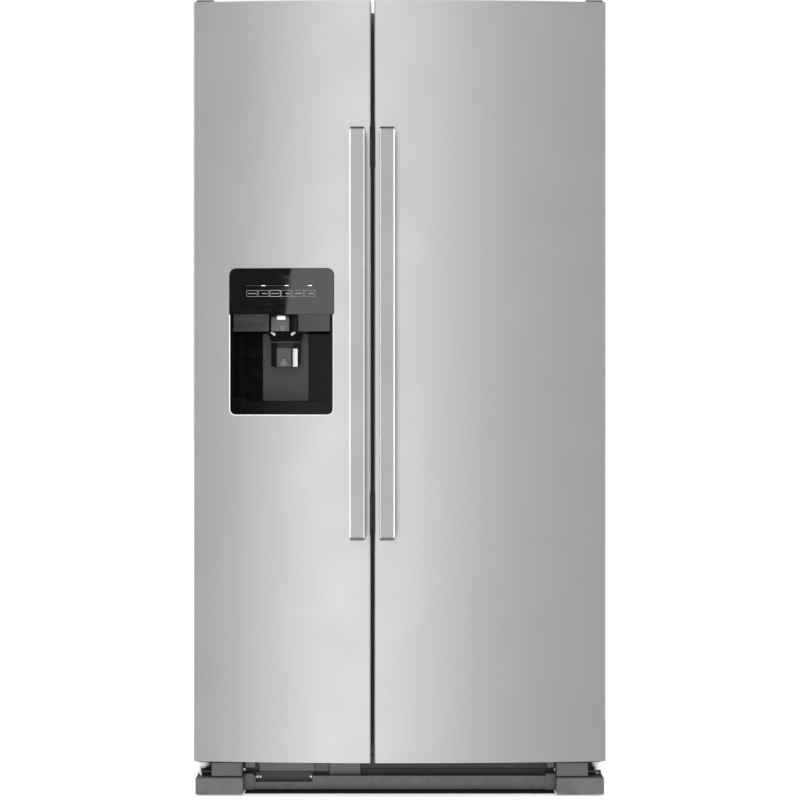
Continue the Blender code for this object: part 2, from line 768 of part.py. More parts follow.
def make_machine(looks, cabinet):
    floor = TRAY_TOP + GAP
    centre_y = (MACHINE_FRONT + BACK_Y) / 2
    x = HALF - 0.190
    dome = [
        (0, floor),
        (COMPRESSOR_RADIUS * 0.75, floor),
        (COMPRESSOR_RADIUS * 0.95, floor + 0.015),
        (COMPRESSOR_RADIUS, floor + 0.035),
        (COMPRESSOR_RADIUS, floor + COMPRESSOR_HEIGHT - 0.060),
        (COMPRESSOR_RADIUS * 0.92, floor + COMPRESSOR_HEIGHT - 0.030),
        (COMPRESSOR_RADIUS * 0.65, floor + COMPRESSOR_HEIGHT - 0.008),
        (0, floor + COMPRESSOR_HEIGHT),
    ]
    compressor = piece(
        "compressor",
        moved(turned(dome, 28), (x, centre_y, 0)),
        looks["machine"],
        cabinet,
        (x, centre_y, floor),
        smooth=True,
    )
    join(
        compressor,
        block(x - 0.095, x + 0.095, centre_y - 0.060, centre_y + 0.060, floor, floor + 0.004),
        rod(0.005, (x - 0.03, centre_y), "Z", floor + 0.10, floor + COMPRESSOR_HEIGHT + 0.020, 10),
    )
    coil_half = 0.115
    tube(
        "condenser_coil",
        winding(-0.335, -0.335 + 2 * coil_half, floor + 0.012, floor + 0.192, 10, centre_y + 0.070),
        COIL_TUBE,
        looks["machine"],
        cabinet,
    )
    fan_at = (-0.030, centre_y, floor + 0.100)
    motor = piece(
        "fan_motor",
        rod(0.026, (fan_at[0], fan_at[2]), "Y", fan_at[1] + 0.014, fan_at[1] + 0.054),
        looks["machine"],
        cabinet,
        fan_at,
        smooth=True,
    )
    join(
        motor,
        rod(0.004, (fan_at[0], fan_at[2]), "Y", fan_at[1] - 0.010, fan_at[1] + 0.016, 12),
        block(
            fan_at[0] - 0.008,
            fan_at[0] + 0.008,
            fan_at[1] + 0.026,
            fan_at[1] + 0.042,
            floor,
            fan_at[2] - 0.020,
        ),
        block(
            fan_at[0] - 0.040, fan_at[0] + 0.040, fan_at[1] + 0.020, fan_at[1] + 0.050, floor, floor + 0.004
        ),
    )
    hub, blades = fan_shape(fan_at)
    fan = piece("condenser_fan", hub, looks["trim"], cabinet, fan_at)
    join(fan, *blades)
    cut(
        fan,
        rod(0.004 + GAP, (fan_at[0], fan_at[2]), "Y", fan_at[1] - PAST, fan_at[1] + PAST, 12),
    )
    valve_x, valve_z = -HALF + 0.075, floor + 0.150
    valve = piece(
        "water_valve",
        block(valve_x - 0.020, valve_x + 0.020, BACK_Y - 0.062, BACK_Y - 0.012, valve_z - 0.015, valve_z + 0.025),
        looks["plastic"],
        cabinet,
    )
    join(
        valve,
        rod(0.010, (valve_x, valve_z), "Y", BACK_Y - 0.016, BACK_Y - 0.0005, 16),
        rod(0.011, (valve_x, BACK_Y - 0.035), "Z", valve_z + 0.020, valve_z + 0.050, 16),
    )
    inner = HALF - SHEET
    cover = piece(
        "service_cover",
        block(-inner, inner, BACK_Y - PANEL_SHEET, BACK_Y, SHELL_BOTTOM + 0.001, MACHINE_TOP),
        looks["plastic"],
        cabinet,
    )
    cut(cover, rod(0.0125, (valve_x, valve_z), "Y", BACK_Y - PAST, BACK_Y + PAST))
    for column in range(8):
        left = -0.250 + column * 0.060
        for row in range(5):
            low = 0.085 + row * 0.032
            cut(cover, block(left, left + 0.045, BACK_Y - PAST, BACK_Y + PAST, low, low + 0.008))
    gland_x, gland_z = HALF - 0.060, 0.100
    join(
        cover,
        rod(0.013, (gland_x, gland_z), "Y", BACK_Y - 0.020, BACK_Y - PANEL_SHEET + LAP, 16),
    )
    cut(cover, rod(0.0045, (gland_x, gland_z), "Y", BACK_Y - 0.040, BACK_Y + PAST, 12))


# ---- Compartments --------------------------------------------------------------------------------
def make_shelf(name, sides, top, back, looks, cabinet):
    """A glass plate with a deeper front rim."""
    outline = [
        (FRONT_Y + SHELF_FRONT, top - SHELF_LIP),
        (FRONT_Y + SHELF_FRONT + SHELF_THICKNESS, top - SHELF_LIP),
        (FRONT_Y + SHELF_FRONT + SHELF_THICKNESS, top - SHELF_THICKNESS),
        (back, top - SHELF_THICKNESS),
        (back, top),
        (FRONT_Y + SHELF_FRONT, top),
    ]
    shape = prism(outline, "X", sides[0] + SHELF_SIDE, sides[1] - SHELF_SIDE)
    return piece(name, shape, looks["glass"], cabinet)


def make_drawer(name, sides, front, back, low, high, looks, cabinet):
    """An open tray with a taller front; its origin is at the middle of its front's foot."""
    x0, x1 = sides[0] + DRAWER_SIDE, sides[1] - DRAWER_SIDE
    at = ((x0 + x1) / 2, front, low)
    tray = hollow(block(x0, x1, front, back, low, high - 0.012), (0, 0, 1), DRAWER_WALL, DRAWER_WALL)
    drawer = piece(name, tray, looks["clear"], cabinet, at)
    join(drawer, block(x0 + LAP / 2, x1 - LAP / 2, front - 0.010, front + LAP, low + LAP, high))
    return drawer


def make_fridge_inside(looks, cabinet):
    back = INNER_BACK - RUN
    for name, drop in zip(("fridge_shelf_upper", "fridge_shelf_lower"), FRIDGE_SHELF_DROPS):
        make_shelf(name, FRIDGE_X, CEILING - drop, back, looks, cabinet)
    cover = block(
        FRIDGE_X[0] + RUN,
        FRIDGE_X[1] - RUN,
        FRONT_Y + DRAWER_FRONT - 0.008,
        back,
        CRISPER_COVER_TOP - SHELF_THICKNESS,
        CRISPER_COVER_TOP,
    )
    piece("crisper_cover", cover, looks["glass"], cabinet)
    front = FRONT_Y + DRAWER_FRONT
    low = INNER_FLOOR + RUN
    lower_top = low + LOWER_DRAWER_HEIGHT
    make_drawer(
        "crisper_drawer_lower", FRIDGE_X, front, front + LOWER_DRAWER_DEPTH, low, lower_top, looks, cabinet
    )
    low = STEP_FLOOR + RUN
    make_drawer(
        "crisper_drawer_upper", FRIDGE_X, front, back - 0.010, low, low + UPPER_DRAWER_HEIGHT, looks, cabinet
    )
    housing = block(
        FRIDGE_X[0] + 0.050,
        FRIDGE_X[1] - 0.050,
        FRONT_Y + 0.150,
        FRONT_Y + 0.330,
        CEILING - 0.045,
        CEILING - GAP,
    )
    hollow(housing, (0, 0, 1), 0.003, 0.003)
    soften(piece("light_housing", housing, looks["liner"], cabinet), 0.004, 2)


def make_freezer_inside(looks, cabinet):
    cover_y = INNER_BACK - EVAPORATOR_COVER_GAP
    shelf_top = CEILING - FREEZER_SHELF_DROP
    make_shelf("freezer_shelf", FREEZER_X, shelf_top, cover_y - RUN, looks, cabinet)
    cover = piece(
        "evaporator_cover",
        block(
            FREEZER_X[0] + GAP,
            FREEZER_X[1] - GAP,
            cover_y,
            cover_y + EVAPORATOR_COVER,
            STEP_FLOOR + GAP,
            CEILING - GAP,
        ),
        looks["liner"],
        cabinet,
    )
    middle = sum(FREEZER_X) / 2
    for row in range(4):
        low = CEILING - 0.130 + row * 0.022
        cut(cover, block(middle - 0.080, middle + 0.080, cover_y - PAST, cover_y + PAST, low, low + 0.008))
    tube(
        "evaporator_coil",
        winding(
            FREEZER_X[0] + 0.050,
            FREEZER_X[1] - 0.050,
            STEP_FLOOR + 0.030,
            STEP_FLOOR + 0.330,
            12,
            (cover_y + EVAPORATOR_COVER + INNER_BACK) / 2,
        ),
        COIL_TUBE,
        looks["machine"],
        cabinet,
    )
    bin_low = shelf_top + RUN
    bin_back = cover_y - 0.030
    ends = (FREEZER_X[0] + ICE_BIN_SIDE, FREEZER_X[1] - ICE_BIN_SIDE)
    front = FRONT_Y + ICE_BIN_FRONT
    tray = hollow(
        block(*ends, front, bin_back, bin_low, bin_low + ICE_BIN_HEIGHT), (0, 0, 1), 0.004, 0.004
    )
    ice_bin = piece("ice_bin", tray, looks["clear"], cabinet, (middle, front, bin_low))
    cut(ice_bin, block(middle - 0.030, middle + 0.030, front + 0.012, front + 0.072, bin_low - PAST, bin_low + PAST))
    width, depth, height = ICE_MAKER_SIZE
    top = CEILING - 0.050
    maker = piece(
        "ice_maker",
        block(
            middle - width / 2, middle + width / 2, cover_y - RUN - depth, cover_y - RUN, top - height, top
        ),
        looks["liner"],
        cabinet,
    )
    cut(
        maker,
        block(
            middle - width / 2 + 0.040,
            middle + width / 2 - 0.012,
            cover_y - depth + 0.010,
            cover_y - 0.012,
            top - 0.040,
            top + PAST,
        ),
    )
    low = STEP_FLOOR + RUN
    make_drawer(
        "freezer_basket",
        FREEZER_X,
        FRONT_Y + DRAWER_FRONT,
        cover_y - 0.010,
        low,
        low + BASKET_HEIGHT,
        looks,
        cabinet,
    )


# ---- Doors -------------------------------------------------------------------------------------
def door_outline(x0, x1, front_inset, back, radius):
    """A door's plan: straight sides and back, and the arc that both doors share as its front."""
    steps = 12
    arc = [(x0 + (x1 - x0) * step / steps) for step in range(steps + 1)]
    points = [(x1, back), (x0, back)] + [(x, crown_y(x) + front_inset) for x in arc]
    radii = [0, 0, radius] + [0] * (steps - 1) + [radius]
    return rounded(points, radii, 3)


def make_door(kind, x0, x1, hinge_side, parent, looks):
    """One door's skin, foam, liner and gasket. hinge_side is -1 where the hinge is at x0."""
    wall = (SHEET, FREE_EDGE) if hinge_side < 0 else (FREE_EDGE, SHEET)
    skin = piece(
        f"{kind}_door_skin",
        prism(door_outline(x0, x1, 0, DOOR_BACK, EDGE_RADIUS), "Z", DOOR_BOTTOM, DOOR_TOP),
        looks["stainless"],
        parent,
        smooth=True,
    )
    inner = (x0 + wall[0], x1 - wall[1])
    cut(
        skin,
        prism(
            door_outline(*inner, SHEET, DOOR_BACK + PAST, 0),
            "Z",
            DOOR_BOTTOM + SHEET,
            DOOR_TOP - SHEET,
        ),
    )
    foam = piece(
        f"{kind}_door_foam",
        prism(
            door_outline(inner[0] + GAP, inner[1] - GAP, SHEET + GAP, DOOR_BACK, 0),
            "Z",
            DOOR_BOTTOM + SHEET + GAP,
            DOOR_TOP - SHEET - GAP,
        ),
        looks["foam"],
        parent,
    )
    hinge_x = hinge_side * HINGE_X
    pin_hole = PIN_RADIUS + RUN
    for part in (skin, foam):
        for low, high in (
            (DOOR_TOP - PIN_REACH - RUN, DOOR_TOP + PAST),
            (DOOR_BOTTOM - PAST, DOOR_BOTTOM + PIN_REACH + RUN),
        ):
            cut(part, rod(pin_hole, (hinge_x, HINGE_Y), "Z", low, high))
    free_x = x1 if hinge_side < 0 else x0
    top_scallop = HANDLE_TOP + SCALLOP_ABOVE[0] - SCALLOP_HEIGHT
    for low in (top_scallop, HANDLE_BOTTOM + SCALLOP_ABOVE[1]):
        ends = sorted((free_x + hinge_side * SCALLOP_DEPTH, free_x - hinge_side * PAST))
        outline = rounded(
            rectangle(*ends, low, low + SCALLOP_HEIGHT),
            [
                SCALLOP_CORNER if hinge_side * (x - free_x) > 0 else 0
                for x in (ends[0], ends[1], ends[1], ends[0])
            ],
            2,
        )
        cut(skin, prism(outline, "Y", CROWN_Y - PAST, DOOR_BACK + PAST))

    sides = FREEZER_X if hinge_side < 0 else FRIDGE_X
    liner = piece(
        f"{kind}_door_liner",
        block(x0 + LAP, x1 - LAP, DOOR_BACK + GAP, LINER_BACK, DOOR_BOTTOM + LAP, DOOR_TOP - LAP),
        looks["liner"],
        parent,
    )
    rim = (
        sides[0] + DYKE_CLEARANCE,
        sides[1] - DYKE_CLEARANCE,
        INNER_FLOOR + DYKE_CLEARANCE,
        CEILING - DYKE_CLEARANCE,
    )
    join(liner, border(*rim, DYKE_WIDTH, LINER_BACK - LAP, LINER_BACK + DYKE_HEIGHT))
    insets = (
        (GASKET_HINGE_INSET, GASKET_FREE_INSET)
        if hinge_side < 0
        else (GASKET_FREE_INSET, GASKET_HINGE_INSET)
    )
    piece(
        f"{kind}_door_gasket",
        border(
            x0 + insets[0],
            x1 - insets[1],
            DOOR_BOTTOM + GASKET_BOTTOM_INSET,
            DOOR_TOP - GASKET_TOP_INSET,
            GASKET_WIDTH,
            LINER_BACK + GAP,
            FRONT_Y - GAP,
        ),
        looks["gasket"],
        parent,
    )
    return skin, foam, liner, (rim[0] + DYKE_WIDTH + GAP, rim[1] - DYKE_WIDTH - GAP)


def make_bin(name, sides, low, parent, looks):
    shape = block(*sides, LINER_BACK + GAP, LINER_BACK + BIN_DEPTH, low, low + BIN_HEIGHT)
    hollow(shape, (0, 0, 1), BIN_WALL, BIN_WALL)
    return piece(name, shape, looks["clear"], parent)


def make_handle(name, x0, parent, looks):
    """A flat bar whose two ends turn back to the door."""
    front = CROWN_Y - HANDLE_STANDOFF
    foot = min(crown_y(x0), crown_y(x0 + HANDLE_WIDTH)) - 2 * GAP
    inner = front + HANDLE_THICKNESS
    outline = [
        (foot, HANDLE_BOTTOM),
        (front, HANDLE_BOTTOM),
        (front, HANDLE_TOP),
        (foot, HANDLE_TOP),
        (foot, HANDLE_TOP - HANDLE_LEG),
        (inner, HANDLE_TOP - HANDLE_LEG),
        (inner, HANDLE_BOTTOM + HANDLE_LEG),
        (foot, HANDLE_BOTTOM + HANDLE_LEG),
    ]
    radii = [0, HANDLE_CORNER, HANDLE_CORNER, 0, 0, HANDLE_CORNER / 2, HANDLE_CORNER / 2, 0]
    handle = piece(
        name,
        prism(rounded(outline, radii), "X", x0, x0 + HANDLE_WIDTH),
        looks["handle"],
        parent,
        smooth=True,
    )
    return soften(handle, HANDLE_CHAMFER, 1)


# ---- Dispenser -----------------------------------------------------------------------------------
def key_centre(index):
    """X of a key's centre, in the dispenser's frame."""
    return KEY_CENTRE_X + (index - (KEY_COUNT - 1) / 2) * KEY_PITCH


def dispenser_outlines(grow):
    """The lower bezel's outline and the control panel's, both larger by grow."""
    half, panel_half = BEZEL_WIDTH / 2 + grow, PANEL_WIDTH / 2 + grow
    low, seam = -SILL_HEIGHT - grow, ALCOVE_HEIGHT + BEZEL_WALL
    top = seam + GAP + PANEL_HEIGHT + grow
    bezel = rounded(rectangle(-half, half, low, seam), [LOW_CORNER, LOW_CORNER, 0, 0])
    panel_low = seam + GAP - grow
    panel = rounded(
        rectangle(-panel_half, panel_half, panel_low, top), [0, 0, TOP_CORNER, TOP_CORNER]
    )
    return bezel, panel


def make_dispenser(skin, foam, liner, parent, looks):
    depth = ALCOVE_DEPTH + BEZEL_WALL
    seam = ALCOVE_HEIGHT + BEZEL_WALL
    bezel, panel = dispenser_outlines(0)
    bezel_hole, panel_hole = dispenser_outlines(2 * GAP)
    core_half = BEZEL_WIDTH / 2 - 0.008
    core_depth = 0.045
    core_top = seam + PANEL_HEIGHT - 0.008
    cut(
        skin,
        prism(bezel_hole, "Y", -PAST, 0.045),
        prism(panel_hole, "Y", -PAST, 0.045),
        frame=parent,
    )
    cut(foam, housing_space(depth, seam), prism(panel_hole, "Y", -PAST, core_depth + 2 * GAP), frame=parent)
    centre_z = DISPENSER_SILL + (ALCOVE_HEIGHT - SILL_HEIGHT) / 2
    bulge_half = (BEZEL_WIDTH / 2 + 0.012, (ALCOVE_HEIGHT + SILL_HEIGHT) / 2 + 0.018)
    join(
        liner,
        block(
            DISPENSER_X - bulge_half[0],
            DISPENSER_X + bulge_half[0],
            LINER_BACK - LAP,
            LINER_BACK + LINER_BULGE_DEPTH,
            centre_z - bulge_half[1],
            centre_z + bulge_half[1],
        ),
    )
    cut(liner, housing_space(depth, seam), frame=parent)

    housing = piece("dispenser_housing", prism(bezel, "Y", 0, depth), looks["black"], parent)
    alcove = prism(
        rounded(
            rectangle(-ALCOVE_WIDTH / 2, ALCOVE_WIDTH / 2, 0, ALCOVE_HEIGHT), [0.014, 0.014, 0, 0]
        ),
        "Y",
        -PAST,
        ALCOVE_DEPTH,
    )
    cut(housing, alcove)
    join(
        housing,
        block(-core_half, core_half, PANEL_THICKNESS + GAP, core_depth, seam - LAP, core_top),
        block(-0.028, 0.034, 0.040, ALCOVE_DEPTH + LAP, 0.1540, ALCOVE_HEIGHT + LAP),
        funnel_shape(),
        block(-0.0300, -0.0185, 0.058, 0.066, 0.0780, 0.1380),
        block(0.0185, 0.0340, 0.058, 0.066, 0.0830, 0.1380),
    )
    for slot in range(9):
        x = -0.080 + slot * 0.020
        cut(housing, block(x - 0.004, x + 0.004, 0.012, 0.070, -0.012, PAST))

    panel_piece = piece(
        "control_panel", prism(panel, "Y", 0, PANEL_THICKNESS), looks["gloss"], parent
    )
    for index in range(KEY_COUNT):
        x = key_centre(index)
        side, rise = KEY_WIDTH / 2, KEY_HEIGHT / 2
        slack = RUN / 2
        cut(
            panel_piece,
            block(
                x - side - slack,
                x + side + slack,
                -PAST,
                KEY_DEPTH + KEY_TRAVEL + RUN,
                KEY_CENTRE_Z - rise - slack,
                KEY_CENTRE_Z + rise + slack,
            ),
        )
        cap = block(x - side, x + side, -GAP, KEY_DEPTH, KEY_CENTRE_Z - rise, KEY_CENTRE_Z + rise)
        piece(
            f"control_key_{index + 1}", cap, looks["gloss"], parent, (x, -GAP, KEY_CENTRE_Z)
        )
    make_pad("water_pad", WATER_PAD, WATER_PAD_Y, parent, looks)
    make_pad("ice_pad", ICE_PAD, ICE_PAD_Y, parent, looks)


def housing_space(depth, seam):
    """The space that the dispenser's housing takes out of the foam and the door liner."""
    return block(
        -BEZEL_WIDTH / 2 - 2 * GAP,
        BEZEL_WIDTH / 2 + 2 * GAP,
        -PAST,
        depth + 2 * GAP,
        -SILL_HEIGHT - 2 * GAP,
        seam + 2 * GAP,
    )


def funnel_shape():
    """The chute's mouth: a block that narrows downwards."""
    bm = block(-0.036, 0.042, 0.044, ALCOVE_DEPTH + LAP, 0.1360, 0.1545)
    for vert in bm.verts:
        if vert.co.z < 0.14:
            vert.co.x = 0.003 + (vert.co.x - 0.003) * 0.86
            vert.co.y = 0.052 if vert.co.y < 0.05 else vert.co.y
    return bm


def make_pad(name, sizes, y, parent, looks):
    """A paddle that hangs from a round bead along its top edge, where it turns."""
    left, right, low, high = sizes
    at = ((left + right) / 2, y + PAD_THICKNESS / 2, high - PAD_THICKNESS / 2)
    pad = piece(name, block(left, right, y, y + PAD_THICKNESS, low, at[2]), looks["pad"], parent, at)
    return join(pad, rod(PAD_THICKNESS / 2 + GAP, (at[1], at[2]), "X", left + LAP / 2, right - LAP / 2, 12))


# ---- Materials and assembly ------------------------------------------------------------------------
def make_looks():
    return {
        "stainless": material("stainless", (0.56, 0.56, 0.56), 0.32, 1.0),
        "handle": material("handle_metal", (0.62, 0.62, 0.61), 0.28, 1.0),
        "cabinet": material("cabinet_paint", (0.22, 0.22, 0.225), 0.5),
        "steel": material("hinge_steel", (0.55, 0.55, 0.55), 0.35, 1.0),
        "cover": material("hinge_cover_plastic", (0.13, 0.13, 0.135), 0.5),
        "frame": material("frame_steel", (0.10, 0.10, 0.10), 0.55, 0.6),
        "trim": material("base_plastic", (0.12, 0.12, 0.122), 0.55),
        "machine": material("machine_black", (0.02, 0.02, 0.02), 0.4),
        "plastic": material("white_plastic", (0.75, 0.75, 0.73), 0.5),
        "liner": material("liner_plastic", (0.88, 0.88, 0.87), 0.35),
        "clear": material("clear_plastic", (0.80, 0.84, 0.86), 0.15),
        "glass": material("shelf_glass", (0.72, 0.80, 0.80), 0.08),
        "foam": material("foam", (0.80, 0.72, 0.45), 0.9),
        "gasket": material("gasket", (0.20, 0.20, 0.20), 0.6),
        "rubber": material("roller_rubber", (0.05, 0.05, 0.05), 0.6),
        "black": material("dispenser_black", (0.012, 0.012, 0.012), 0.15),
        "gloss": material("panel_gloss", (0.008, 0.008, 0.008), 0.06),
        "pad": material("pad_grey", (0.10, 0.10, 0.10), 0.4),
    }


def main():
    for obj in list(bpy.data.objects):
        bpy.data.objects.remove(obj, do_unlink=True)
    looks = make_looks()
    cabinet = body("cabinet")
    freezer_door = body("freezer_door", cabinet, (-HINGE_X, HINGE_Y, DOOR_BOTTOM))
    fridge_door = body("fridge_door", cabinet, (HINGE_X, HINGE_Y, DOOR_BOTTOM))
    dispenser = body("dispenser", freezer_door, DISPENSER_AT, DISPENSER_TURN, own_frame=True)
    bpy.context.view_layer.update()

    make_cabinet(looks, cabinet)
    make_upper_hinge("upper_hinge_left", "hinge_cover_left", -1, looks, cabinet)
    make_upper_hinge("upper_hinge_right", "hinge_cover_right", 1, looks, cabinet)
    make_lower_hinge("lower_hinge_left", -1, looks, cabinet)
    make_lower_hinge("lower_hinge_right", 1, looks, cabinet)
    make_base(looks, cabinet)
    make_machine(looks, cabinet)
    make_fridge_inside(looks, cabinet)
    make_freezer_inside(looks, cabinet)

    split = (SPLIT_X - DOOR_GAP / 2, SPLIT_X + DOOR_GAP / 2)
    skin, foam, liner, bin_sides = make_door("freezer", -DOOR_HALF, split[0], -1, freezer_door, looks)
    make_dispenser(skin, foam, liner, dispenser, looks)
    make_bin("freezer_door_bin", bin_sides, FREEZER_BIN_FLOOR, freezer_door, looks)
    make_handle("freezer_door_handle", split[0] - HANDLE_INSET - HANDLE_WIDTH, freezer_door, looks)

    _, _, _, bin_sides = make_door("fridge", split[1], DOOR_HALF, 1, fridge_door, looks)
    make_bin("fridge_door_bin_lower", bin_sides, FRIDGE_BIN_FLOOR, fridge_door, looks)
    make_bin(
        "fridge_door_bin_upper", bin_sides, FRIDGE_BIN_FLOOR + FRIDGE_BIN_RISE, fridge_door, looks
    )
    make_handle("fridge_door_handle", split[1] + HANDLE_INSET, fridge_door, looks)


main()
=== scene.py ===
"""The looks of a side-by-side refrigerator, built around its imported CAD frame.

Metres, +Z up, -Y towards the user. Every piece rides on the CAD body that it belongs to.
"""

import json
import math

import bmesh
import bpy
from mathutils import Matrix, Vector

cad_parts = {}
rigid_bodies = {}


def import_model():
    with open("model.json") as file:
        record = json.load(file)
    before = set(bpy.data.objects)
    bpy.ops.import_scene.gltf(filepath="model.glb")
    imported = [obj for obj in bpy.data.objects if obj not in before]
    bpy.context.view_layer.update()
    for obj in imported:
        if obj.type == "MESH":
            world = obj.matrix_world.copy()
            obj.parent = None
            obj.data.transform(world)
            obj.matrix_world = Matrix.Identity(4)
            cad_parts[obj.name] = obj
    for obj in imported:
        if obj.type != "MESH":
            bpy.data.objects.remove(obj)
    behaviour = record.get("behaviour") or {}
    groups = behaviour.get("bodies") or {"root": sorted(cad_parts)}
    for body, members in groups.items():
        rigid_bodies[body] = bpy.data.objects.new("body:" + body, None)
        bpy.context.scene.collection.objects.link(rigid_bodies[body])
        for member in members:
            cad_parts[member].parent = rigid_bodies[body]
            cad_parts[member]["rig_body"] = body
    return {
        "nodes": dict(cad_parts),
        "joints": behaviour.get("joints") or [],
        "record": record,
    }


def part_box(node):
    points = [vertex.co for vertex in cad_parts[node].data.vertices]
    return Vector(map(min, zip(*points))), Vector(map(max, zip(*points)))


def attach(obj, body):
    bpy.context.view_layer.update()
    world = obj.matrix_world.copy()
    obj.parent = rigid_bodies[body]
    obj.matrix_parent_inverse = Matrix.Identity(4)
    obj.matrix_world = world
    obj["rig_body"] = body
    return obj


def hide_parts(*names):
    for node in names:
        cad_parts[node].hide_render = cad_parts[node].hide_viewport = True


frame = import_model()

bl_info = {
    "name": "Side-by-side refrigerator",
    "version": (1, 0, 0),
    "blender": (4, 5, 0),
    "location": "3D View > Sidebar > Refrigerator",
    "description": "Builds a refrigerator's finished surfaces and small parts around its frame",
    "category": "Object",
}

SLOT_OF = {part["node"]: part["material_slot"] for part in frame["record"]["subparts"]}
JOINT_OF = {joint["name"]: joint for joint in frame["joints"]}
KEYS = [f"control_key_{number}" for number in range(1, 7)]
MERGE = 1e-5  # m, the corners of a node's loose triangles
# Nodes with flat faces round an opening, which dissolving would fold over themselves.
PIERCED = ("service_cover", "evaporator_cover", "crisper_drawer_upper", "fridge_door_liner")
FLAT = math.radians(0.1)  # faces that meet at less than this are one face
SMOOTH = math.radians(32)
PROUD = 0.0002  # m, how far a printed or set-in mark stands out of its surface


# ---- Settings a user would change ----------------------------------------------------------------
def length(name, default, text):
    return bpy.props.FloatProperty(
        name=name, description=text, default=default, min=0, unit="LENGTH", precision=4
    )


def colour(name, default, text):
    return bpy.props.FloatVectorProperty(
        name=name, description=text, default=default, min=0, max=1, size=3, subtype="COLOR"
    )


class RefrigeratorSizes(bpy.types.PropertyGroup):
    sheet_edge: length("Sheet edge", 0.0009, "Rounding of the folded door skins' edges")
    moulded_edge: length("Moulded edge", 0.0010, "Rounding of moulded plastic edges")
    pressed_edge: length("Pressed edge", 0.0006, "Rounding of steel brackets and frames")
    screw_head: length("Screw head", 0.0042, "Radius of the screws' heads")
    indicator: length("Indicator", 0.0011, "Radius of the control panel's indicator lights")
    key_line: length("Key line", 0.0005, "Width of the line around each key")
    tube: length("Water tube", 0.0024, "Radius of the water tube at the lower hinge")


class RefrigeratorColours(bpy.types.PropertyGroup):
    stainless: colour("Stainless", (0.66, 0.66, 0.658), "Brushed door skins")
    handle: colour("Handle", (0.405, 0.416, 0.414), "Satin handles")
    cabinet: colour("Cabinet", (0.16, 0.16, 0.163), "Painted cabinet")
    hinge: colour("Hinge", (0.50, 0.50, 0.50), "Zinc-plated hinges and brackets")
    base: colour("Base", (0.112, 0.112, 0.114), "Moulded base trim")
    black: colour("Dispenser black", (0.006, 0.006, 0.0062), "Glossy dispenser plastic")
    grey: colour("Dispenser grey", (0.045, 0.045, 0.046), "Satin dispenser plastic")
    mark: colour("Marks", (0.42, 0.43, 0.44), "Key outlines and legends")
    liner: colour("Liner", (0.82, 0.82, 0.81), "White inner liners")


def sizes():
    return bpy.context.scene.refrigerator_sizes


def tint(name):
    return tuple(getattr(bpy.context.scene.refrigerator_colours, name))


# ---- Materials -----------------------------------------------------------------------------------
class Value:
    """A shader socket that works in arithmetic."""

    def __init__(self, look, socket):
        self.look = look
        self.socket = socket

    def maths(self, operation, first, second):
        return self.look.node("ShaderNodeMath", {"operation": operation}, {0: first, 1: second})

    def __add__(self, other):
        return self.maths("ADD", self, other)

    def __mul__(self, other):
        return self.maths("MULTIPLY", self, other)


class Look:
    """A procedural material under construction, read in Object coordinates."""

    def __init__(self, name):
        self.material = bpy.data.materials.new(name)
        self.material.use_nodes = True
        self.tree = self.material.node_tree
        self.tree.nodes.clear()
        self.place = self.node("ShaderNodeTexCoord", output="Object")

    def node(self, kind, settings=None, sockets=None, output=0):
        """A node with its settings made first, then its sockets' values or links."""
        made = self.tree.nodes.new(kind)
        for name, value in (settings or {}).items():
            setattr(made, name, value)
        for name, value in (sockets or {}).items():
            if isinstance(value, Value):
                self.tree.links.new(value.socket, made.inputs[name])
            else:
                made.inputs[name].default_value = value
        return Value(self, made.outputs[output]) if made.outputs else None

    def noise(self, scale, detail=3.0, stretch=(1, 1, 1)):
        vector = self.node("ShaderNodeMapping", {}, {"Vector": self.place, "Scale": stretch})
        sockets = {"Vector": vector, "Scale": scale, "Detail": detail}
        return self.node("ShaderNodeTexNoise", {}, sockets)

    def cells(self, scale):
        return self.node("ShaderNodeTexVoronoi", {}, {"Vector": self.place, "Scale": scale})

    def level(self, factor, start, end, low=0.0, high=1.0):
        """The factor's run from start to end, as a run from low to high."""
        sockets = {"Value": factor, "From Min": start, "From Max": end}
        return self.node("ShaderNodeMapRange", {}, {**sockets, "To Min": low, "To Max": high})

    def between(self, factor, first, second):
        sockets = {0: factor, 6: (*first, 1), 7: (*second, 1)}
        return self.node("ShaderNodeMix", {"data_type": "RGBA"}, sockets, output=2)

    def bump(self, height, depth):
        return self.node(
            "ShaderNodeBump", {}, {"Strength": 1.0, "Distance": depth, "Height": height}
        )

    def height(self):
        return self.node("ShaderNodeSeparateXYZ", {}, {0: self.place}, output="Z")

    def finish(self, **values):
        sockets = {name.replace("_", " "): value for name, value in values.items()}
        shader = self.node("ShaderNodeBsdfPrincipled", {}, sockets)
        self.node("ShaderNodeOutputMaterial", {}, {"Surface": shader})
        return self.material


def scaled(shade, factor):
    return tuple(min(level * factor, 1) for level in shade)


def brushed(name, shade, rough, across, along, depth):
    """Metal with a fine straight grain; across and along are the grain's frequencies."""
    look = Look(name)
    grain = look.noise(1.0, 4.0, (across, across, along))
    broad = look.noise(2.1, 2.0, (1, 1, 0.4))
    smudge = look.noise(9.0, 5.0)
    tone = grain * 0.75 + broad * 0.25
    return look.finish(
        Base_Color=look.between(
            look.level(tone, 0.3, 0.7), scaled(shade, 0.985), scaled(shade, 1.015)
        ),
        Metallic=1.0,
        Roughness=look.level(smudge + grain * 0.35, 0.35, 0.95, rough - 0.02, rough + 0.03),
        Normal=look.bump(grain, depth),
    )


